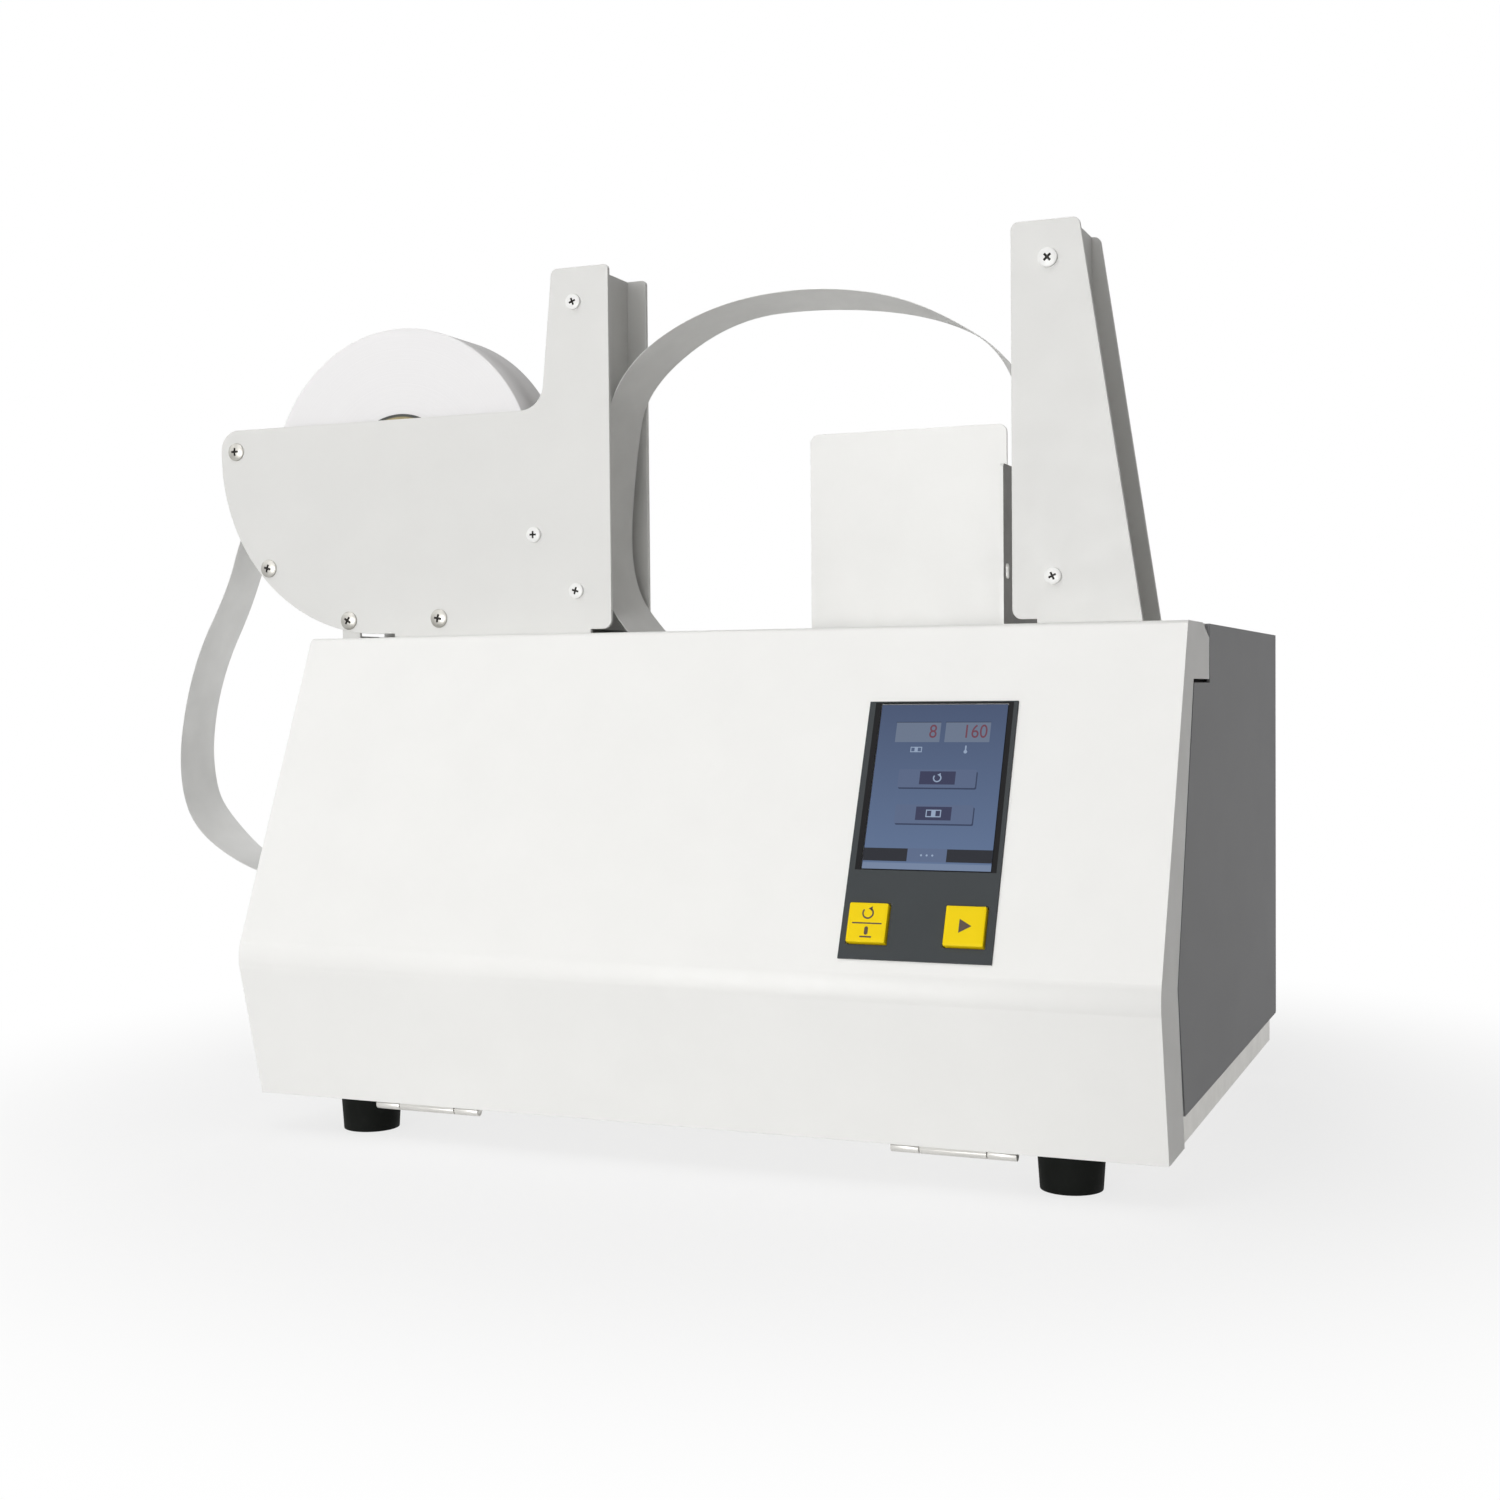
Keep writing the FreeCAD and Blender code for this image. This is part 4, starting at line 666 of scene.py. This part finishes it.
# It stands a flat plate up, with its X along the frame's Y and its Y along the frame's Z.
PLATE_TO_SIDE = Matrix(((0, 0, 1, 0), (1, 0, 0, 0), (0, 1, 0, 0), (0, 0, 0, 1)))


def guide_outline(depth, height):
    """The upright sheet from the side, with a low tongue that runs back from its foot."""
    back = depth + GUIDE_BACK
    reach = depth + TONGUE_REACH
    return ([(0, GUIDE_SHEET), (reach, GUIDE_SHEET)]
            + arc((reach - TONGUE_ROUND, TONGUE_TOPS[1] - TONGUE_ROUND), TONGUE_ROUND, 0, 90)
            + [(back, TONGUE_TOPS[0]), (back, height)]
            + arc((GUIDE_ROUND, height - GUIDE_ROUND), GUIDE_ROUND, 90, 180))


def foot_section(left, right, base):
    """The foot from the front: flat on the deck, with a round bend at its left."""
    centre = (left + GUIDE_BEND, base + GUIDE_BEND)
    return ([(right, base), (right, base + GUIDE_SHEET)]
            + list(reversed(arc(centre, GUIDE_BEND - GUIDE_SHEET, 180, 270)))
            + arc(centre, GUIDE_BEND, 180, 270))


def make_side_guide():
    """A bent sheet at the right of the back stop: an upright, a foot, and an ear behind the stop; its faces
    that look left or right get a dark grey of painted shade.
    """
    low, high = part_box("side_guide")
    wall = high.x - GUIDE_SHEET / 2 * MM
    depth, height = (high.y - low.y) / MM, (high.z - low.z) / MM
    mesh = flat_plate(guide_outline(depth, height), rounded(*GUIDE_HOLE, HOLE_ROUND), GUIDE_SHEET * MM)
    mesh.transform(Matrix.Translation((wall, low.y, low.z)) @ PLATE_TO_SIDE)
    form = bmesh.new()
    form.from_mesh(mesh)
    bpy.data.meshes.remove(mesh)
    bmesh.ops.remove_doubles(form, verts=form.verts, dist=SAME_SPOT)
    left, front, base = wall / MM - GUIDE_SHEET / 2, low.y / MM, low.z / MM
    foot = foot_section(left, wall / MM + FOOT_REACH, base)
    prism(form, *[[form.verts.new(Vector((x, y, z)) * MM) for x, z in foot]
                  for y in (front, front + depth + TONGUE_REACH)])
    back = high.y / MM + GUIDE_SHEET
    ear = rectangle(left - EAR_REACH, back, left + EAR_OVERLAP, back + GUIDE_SHEET)
    prism(form, *[[form.verts.new(Vector((x, y, base + level)) * MM) for x, y in ear]
                  for level in EAR_LEVELS])
    form.normal_update()
    # Faces that look along X take the painted shade.
    for face in form.faces:
        face.material_index = int(abs(face.normal.x) > 0.7)
    piece("side_guide_sheet", form, "cover_paint", "stops", ("side_guide",), smooth=30, second="guide_side_shade")


# ---------- control panel ----------

SLOPE = Vector((0, -SLOPE_REACH, -SLOPE_DROP)).normalized()
OUTWARD = Vector((0, -SLOPE_DROP, SLOPE_REACH)).normalized()
PANEL_TOP = Vector((0, FRONT_EDGE, DECK_TOP))


def on_panel(x, along, out):
    """A place on the sloped face: x to the right, millimetres down from its top edge, and out from it."""
    return Vector((x * MM, 0, 0)) + PANEL_TOP + SLOPE * along * MM + OUTWARD * out * MM


def panel_shapes(name, outlines, out, thick, material, body="cover"):
    """Thin flat shapes that lie on the sloped face."""
    form = bmesh.new()
    for outline in outlines:
        low = [form.verts.new(on_panel(x, along, out)) for x, along in outline]
        high = [form.verts.new(on_panel(x, along, out + thick)) for x, along in outline]
        prism(form, low, high)
    piece(name, form, material, body, smooth=30)


def ring_piece(x, y, outer, inner, start, end):
    """A curved band, such as the shaft of a circular arrow."""
    return arc((x, y), outer, start, end, 20) + arc((x, y), inner, end, start, 20)


def turning_arrow(x, y, radius, line):
    """A circular arrow: a band of 280 degrees and its head."""
    band = ring_piece(x, y, radius, radius - line, -60, 220)
    tip = radius - line / 2
    head = [(x + tip * 0.5 - 1.5 * line, y - tip * 0.87 - 0.2 * line),
            (x + tip * 0.5 + 1.0 * line, y - tip * 0.87 - 1.5 * line),
            (x + tip * 0.5 + 0.9 * line, y - tip * 0.87 + 1.6 * line)]
    return [band, head]


def pressing_finger(x, y, size, line):
    """A fingertip and the surface that it presses."""
    finger = rounded(x - 0.16 * size, y - 0.5 * size, x + 0.16 * size, y + 0.2 * size, 0.15 * size)
    base = rectangle(x - 0.5 * size, y + 0.3 * size, x + 0.5 * size, y + 0.3 * size + line)
    return [finger, base]


def play_mark(x, y, size):
    return [[(x - 0.38 * size, y - 0.5 * size), (x + 0.5 * size, y), (x - 0.38 * size, y + 0.5 * size)]]


def stack_mark(x, y, width, height, line):
    """A stack of notes with its band, as outlines."""
    left, right = x - width / 2, x + width / 2
    top, bottom = y - height / 2, y + height / 2
    return [rectangle(left, top, right, top + line), rectangle(left, bottom - line, right, bottom),
            rectangle(left, top + line, left + line, bottom - line),
            rectangle(right - line, top + line, right, bottom - line),
            rectangle(x - 0.14 * width, top + line, x + 0.14 * width, bottom - line)]


def heat_mark(x, y, height):
    """A thermometer: a stem and a bulb."""
    bulb = arc((x, y + 0.3 * height), 0.22 * height, 0, 345, 18)
    stem = rounded(x - 0.09 * height, y - 0.5 * height, x + 0.09 * height, y + 0.12 * height, 0.08 * height)
    return [stem, bulb]


# The display, in the panel's millimetres: left, top, right and bottom.
SCREEN = (79.1, 34.0, 129.4, 100.9)
BOXES = [(86.0, 41.4, 103.8, 49.5), (105.8, 41.4, 123.5, 49.5)]
SOFT_KEYS = [(89.2, 60.7, 119.9, 68.1), (89.6, 75.0, 120.2, 82.6)]
SOFT_LABELS = [(97.7, 61.5, 111.8, 66.8), (97.8, 75.8, 111.8, 81.2)]
SOFT_ROUND = 0.6
STATUS = (79.1, 92.6, 129.4, 97.7)
STATUS_LABEL = (96.4, 92.5, 111.8, 97.8)
STRIP = (79.1, 98.4, 129.4, 100.9)
BOX_EDGE = 0.25

# The middles of its marks, and the right ends and the foot of its figures.
TURN_SPOT, BAND_SPOT = (104.7, 64.2), (104.8, 78.5)
COUNT_SPOT, HEAT_SPOT = (95.0, 52.6), (114.6, 52.5)
DOTS = [(101.9, 95.2), (104.1, 95.2), (106.3, 95.2)]
DOT_RADIUS = 0.4
FIGURES = {"screen_count": ("8", 102.6), "screen_heat": ("160", 122.6)}
FIGURE_FOOT = 47.7
FIGURE_HEIGHT = 5.6

# How far the picture stands out from the sloped face, and how thick each of its layers is.
SCREEN_FACE = 0.4
LEVEL = 0.03


def make_screen():
    """The lit picture behind the window, in thin layers."""
    edges = [rectangle(left - BOX_EDGE, top - BOX_EDGE, right, top) for left, top, right, bottom in BOXES]
    shadows = [rounded(left + 0.4, top + 0.9, right + 0.5, bottom + 0.6, SOFT_ROUND)
               for left, top, right, bottom in SOFT_KEYS]
    dots = [rounded(x - DOT_RADIUS, along - DOT_RADIUS, x + DOT_RADIUS, along + DOT_RADIUS, DOT_RADIUS)
            for x, along in DOTS]
    marks = (turning_arrow(*TURN_SPOT, 1.7, 0.5) + stack_mark(*BAND_SPOT, 6.0, 3.0, 0.4)
             + stack_mark(*COUNT_SPOT, 4.6, 2.2, 0.35) + heat_mark(*HEAT_SPOT, 3.2) + dots)
    for name, outlines, level, material in (
            ("screen_picture", [rectangle(*SCREEN)], 0, "picture_blue"),
            ("screen_fields", [rectangle(*box) for box in BOXES], 1, "picture_field"),
            ("screen_field_edges", edges, 1, "picture_dark"),
            ("screen_soft_keys", [rounded(*box, SOFT_ROUND) for box in SOFT_KEYS], 2, "picture_key"),
            ("screen_soft_key_shadows", shadows, 1, "picture_shade"),
            ("screen_soft_labels", [rectangle(*box) for box in SOFT_LABELS], 3, "picture_label"),
            ("screen_status", [rectangle(*STATUS)], 1, "picture_status"),
            ("screen_status_label", [rectangle(*STATUS_LABEL)], 2, "picture_key"),
            ("screen_strip", [rectangle(*STRIP)], 1, "picture_strip"),
            ("screen_marks", marks, 4, "picture_mark")):
        panel_shapes(name, outlines, SCREEN_FACE + level * LEVEL, LEVEL, material)
    for name, (words, right) in FIGURES.items():
        make_number(name, words, right, FIGURE_FOOT, FIGURE_HEIGHT, SCREEN_FACE + 2 * LEVEL)


CAPITAL_SHARE = 0.72
NARROWING = 0.86


def make_number(name, words, right, foot, height, out):
    """Plain figures on the sloped face, set to end at `right`."""
    data = bpy.data.curves.new(name, "FONT")
    data.body = words
    data.size = height * MM / CAPITAL_SHARE
    data.align_x = "RIGHT"
    data.extrude = LEVEL * MM / 2
    item = bpy.data.objects.new(name, data)
    bpy.context.scene.collection.objects.link(item)
    mesh = evaluated(item)
    mesh.transform(Matrix.Diagonal((NARROWING, 1, 1, 1)))
    base = Matrix((Vector((1, 0, 0)), -SLOPE, OUTWARD)).transposed().to_4x4()
    mesh.transform(Matrix.Translation(on_panel(right, foot, out + LEVEL)) @ base)
    form = bmesh.new()
    form.from_mesh(mesh)
    bpy.data.meshes.remove(mesh)
    piece(name, form, "picture_red", "cover", smooth=30)


BORDER_FACE = 0.8
BORDER_GAP = 0.4


def make_bezel():
    """The display's black border, round the picture."""
    left, top, right, bottom = SCREEN
    outer_left, outer_top, outer_right, outer_bottom = left - 2.6, top - 0.9, right + 2.3, bottom + 0.6
    inner_left, inner_top = left - BORDER_GAP, top - BORDER_GAP
    inner_right, inner_bottom = right + BORDER_GAP, bottom + BORDER_GAP
    strips = [rectangle(outer_left, outer_top, outer_right, inner_top),
              rectangle(outer_left, inner_bottom, outer_right, outer_bottom),
              rectangle(outer_left, inner_top, inner_left, inner_bottom),
              rectangle(inner_right, inner_top, outer_right, inner_bottom)]
    panel_shapes("display_border", strips, BORDER_FACE, LEVEL, "bezel_black")


KEYS = {"key_left": 76.9, "key_right": 114.5}
KEY_START = 114.9
KEY_SIDE = 15.4
KEY_SINK = 0.5
KEY_GAP = 0.1
MARK_LINE = 0.62


def key_levels(node):
    """How far the key's foot and top stand out from the sloped face."""
    mesh = frame["nodes"][node].data
    levels = [(vertex.co - PANEL_TOP).dot(OUTWARD) / MM for vertex in mesh.vertices]
    return min(levels), max(levels)


def make_key(node, left):
    """A moulded cap: a skirt, straight sides, a rounded edge and a top with a shallow raised field."""
    foot, top = key_levels(node)
    top -= KEY_SINK
    x_middle, along_middle = left + KEY_SIDE / 2, KEY_START + KEY_SIDE / 2
    half = KEY_SIDE / 2 - KEY_GAP
    levels = [(half, foot), (half, top - 0.2), (half - 0.06, top - 0.08), (half - 0.2, top - 0.02),
              (half - 1.2, top - 0.02), (half - 1.4, top), (half - 4, top)]
    form = bmesh.new()
    loops = []
    for reach, out in levels:
        corner = max(0.2, 0.5 - (half - reach) * 0.3)
        outline = rounded(x_middle - reach, along_middle - reach, x_middle + reach, along_middle + reach,
                          corner)
        loops.append([form.verts.new(on_panel(x, along, out)) for x, along in outline])
    for lower, upper in zip(loops, loops[1:]):
        bridge(form, lower, upper)
    form.faces.new(loops[0])
    form.faces.new(loops[-1])
    piece(node + "_cap", form, "key_yellow", node + "_body", (node,), smooth=35)


def make_key_marks():
    """Pictograms on the keys: automatic over by hand on the left one, start on the right one."""
    left = KEYS["key_left"] + KEY_SIDE / 2
    right = KEYS["key_right"] + KEY_SIDE / 2
    along = KEY_START + KEY_SIDE / 2
    out = key_levels("key_left")[1] - KEY_SINK
    divider = rectangle(left - 5.8, along + 0.05, left + 5.8, along + 0.6)
    modes = (turning_arrow(left, along - 3.6, 2.3, MARK_LINE) + [divider]
             + pressing_finger(left, along + 3.9, 4.6, MARK_LINE))
    panel_shapes("key_left_mark", modes, out, LEVEL, "key_ink", "key_left_body")
    panel_shapes("key_right_mark", play_mark(right, along, 5.4), out, LEVEL, "key_ink", "key_right_body")


# ---------- camera, light and floor ----------

IMAGE_SIDE = 1500
FOCAL_PIXELS = 1971
SENSOR = 36
CAMERA_PLACE = (0.3235, -0.8497, 0.187)
CAMERA_YAW = math.radians(22.347)
CAMERA_PITCH = math.radians(-1.653)
CAMERA_ROLL = math.radians(-0.501)


def make_camera():
    data = bpy.data.cameras.new("camera")
    data.sensor_width = SENSOR
    data.lens = FOCAL_PIXELS / IMAGE_SIDE * SENSOR
    camera = bpy.data.objects.new("camera", data)
    turn = (Matrix.Rotation(CAMERA_YAW, 4, "Z")
            @ Matrix.Rotation(math.pi / 2 + CAMERA_PITCH, 4, "X")
            @ Matrix.Rotation(CAMERA_ROLL, 4, "Z"))
    camera.matrix_world = Matrix.Translation(CAMERA_PLACE) @ turn
    bpy.context.scene.collection.objects.link(camera)
    bpy.context.scene.camera = camera


# Each lamp's place, what it faces, its width and its power.
LAMPS = {
    "key": ((-0.8, -1.9, 1.6), (0, 0, 0.18), 1.4, 6),
    "front": ((-0.25, -2.6, 0.15), (0, 0, 0.1), 0.8, 41),
    "left": ((-1.7, -0.8, 1.2), (-0.1, 0, 0.2), 1.2, 3.5),
    "top": ((-0.05, -1.0, 2.0), (0, 0, 0.2), 0.7, 7),
    "back": ((-0.5, 2.2, 1.3), (0, 0, 0.2), 1.0, 9),
}


def area_light(name, place, aim, size, power):
    data = bpy.data.lights.new(name, "AREA")
    data.shape = "DISK"
    data.size = size
    data.energy = power
    lamp = bpy.data.objects.new(name, data)
    lamp.location = place
    lamp.rotation_euler = (Vector(aim) - Vector(place)).to_track_quat("-Z", "Y").to_euler()
    bpy.context.scene.collection.objects.link(lamp)


def seen(nodes, links):
    """1 for a ray from the camera, a mirror, glass or thin paper, and 0 for other light on the object."""
    path = nodes.new("ShaderNodeLightPath")
    total = path.outputs["Is Camera Ray"]
    for ray in ("Is Glossy Ray", "Is Transmission Ray"):
        add = nodes.new("ShaderNodeMath")
        add.operation = "ADD"
        add.use_clamp = True
        links.new(total, add.inputs[0])
        links.new(path.outputs[ray], add.inputs[1])
        total = add.outputs[0]
    return total


def mixed(nodes, links, factor, first, second):
    mix = nodes.new("ShaderNodeMixShader")
    links.new(factor, mix.inputs["Fac"])
    links.new(first, mix.inputs[1])
    links.new(second, mix.inputs[2])
    return mix.outputs["Shader"]


AMBIENT_COLOUR = (1, 0.975, 0.935, 1)
AMBIENT_STRENGTH = 0.20


def make_world():
    """Even light from all round, seen as plain white."""
    world = bpy.data.worlds.new("world")
    world.use_nodes = True
    nodes = world.node_tree.nodes
    links = world.node_tree.links
    ambient = nodes["Background"]
    ambient.inputs["Color"].default_value = AMBIENT_COLOUR
    ambient.inputs["Strength"].default_value = AMBIENT_STRENGTH
    white = nodes.new("ShaderNodeBackground")
    white.inputs["Color"].default_value = (1, 1, 1, 1)
    shader = mixed(nodes, links, seen(nodes, links), ambient.outputs[0], white.outputs[0])
    links.new(shader, nodes["World Output"].inputs["Surface"])
    bpy.context.scene.world = world


FLOOR_HALF = 6.0
FADE_START = 0.22
FADE_END = 0.50
LEAST_WHITE = 0.76


def make_floor():
    """A pale floor that keeps the object's shadow and fades to plain white away from it."""
    mesh = bpy.data.meshes.new("floor")
    corners = [(x, y, 0) for x, y in rectangle(-FLOOR_HALF, -FLOOR_HALF, FLOOR_HALF, FLOOR_HALF)]
    mesh.from_pydata(corners, [], [(0, 1, 2, 3)])
    floor = bpy.data.objects.new("floor", mesh)
    bpy.context.scene.collection.objects.link(floor)
    material, nodes, links, shader = new_material("floor")
    links.new(tint(nodes, links, noise(nodes, links, 400 * MM), (0.80, 0.80, 0.80), (0.83, 0.83, 0.83)),
              shader.inputs["Base Color"])
    shader.inputs["Roughness"].default_value = 0.9
    shader.inputs["Specular IOR Level"].default_value = 0.1
    coords = nodes.new("ShaderNodeTexCoord")
    distance = nodes.new("ShaderNodeVectorMath")
    distance.operation = "LENGTH"
    links.new(coords.outputs["Object"], distance.inputs[0])
    span = nodes.new("ShaderNodeMapRange")
    span.interpolation_type = "SMOOTHSTEP"
    span.inputs["From Min"].default_value = FADE_START
    span.inputs["From Max"].default_value = FADE_END
    span.inputs["To Min"].default_value = LEAST_WHITE
    links.new(distance.outputs["Value"], span.inputs["Value"])
    share = nodes.new("ShaderNodeMath")
    share.operation = "MULTIPLY"
    links.new(seen(nodes, links), share.inputs[0])
    links.new(span.outputs["Result"], share.inputs[1])
    white = nodes.new("ShaderNodeEmission")
    shader = mixed(nodes, links, share.outputs[0], shader.outputs["BSDF"], white.outputs["Emission"])
    links.new(shader, nodes["Material Output"].inputs["Surface"])
    mesh.materials.append(material)


make_camera()
make_world()
make_floor()
for lamp_name, values in LAMPS.items():
    area_light(lamp_name, *values)

dress_nodes()
make_screws("tower_screw_heads", "tower_screws", "white_screw", size=1.0, crown=0.2)
make_screws("spacer_screw_heads", "spacer_screws", "screw_steel", size=0.9, crown=0.55)
make_roll_paper()
make_tape("feed_tape", "tape_feed_loop", "loop_paper_brightened", Vector((ROLL_CENTRE.x, 0, ROLL_CENTRE.z)),
          LOOP_FRONT, LOOP_BACK, bow=0.5 * MM)
make_tape("arch_tape", "tape_arch", "paper_tape", Vector((0, 0, DECK_TOP)),
          ARCH_FRONT, ARCH_BACK, bow=0.3 * MM)
make_side_guide()
make_bezel()
make_screen()
for key, left_edge in KEYS.items():
    make_key(key, left_edge)
make_key_marks()

bpy.context.scene.view_settings.view_transform = "Standard"
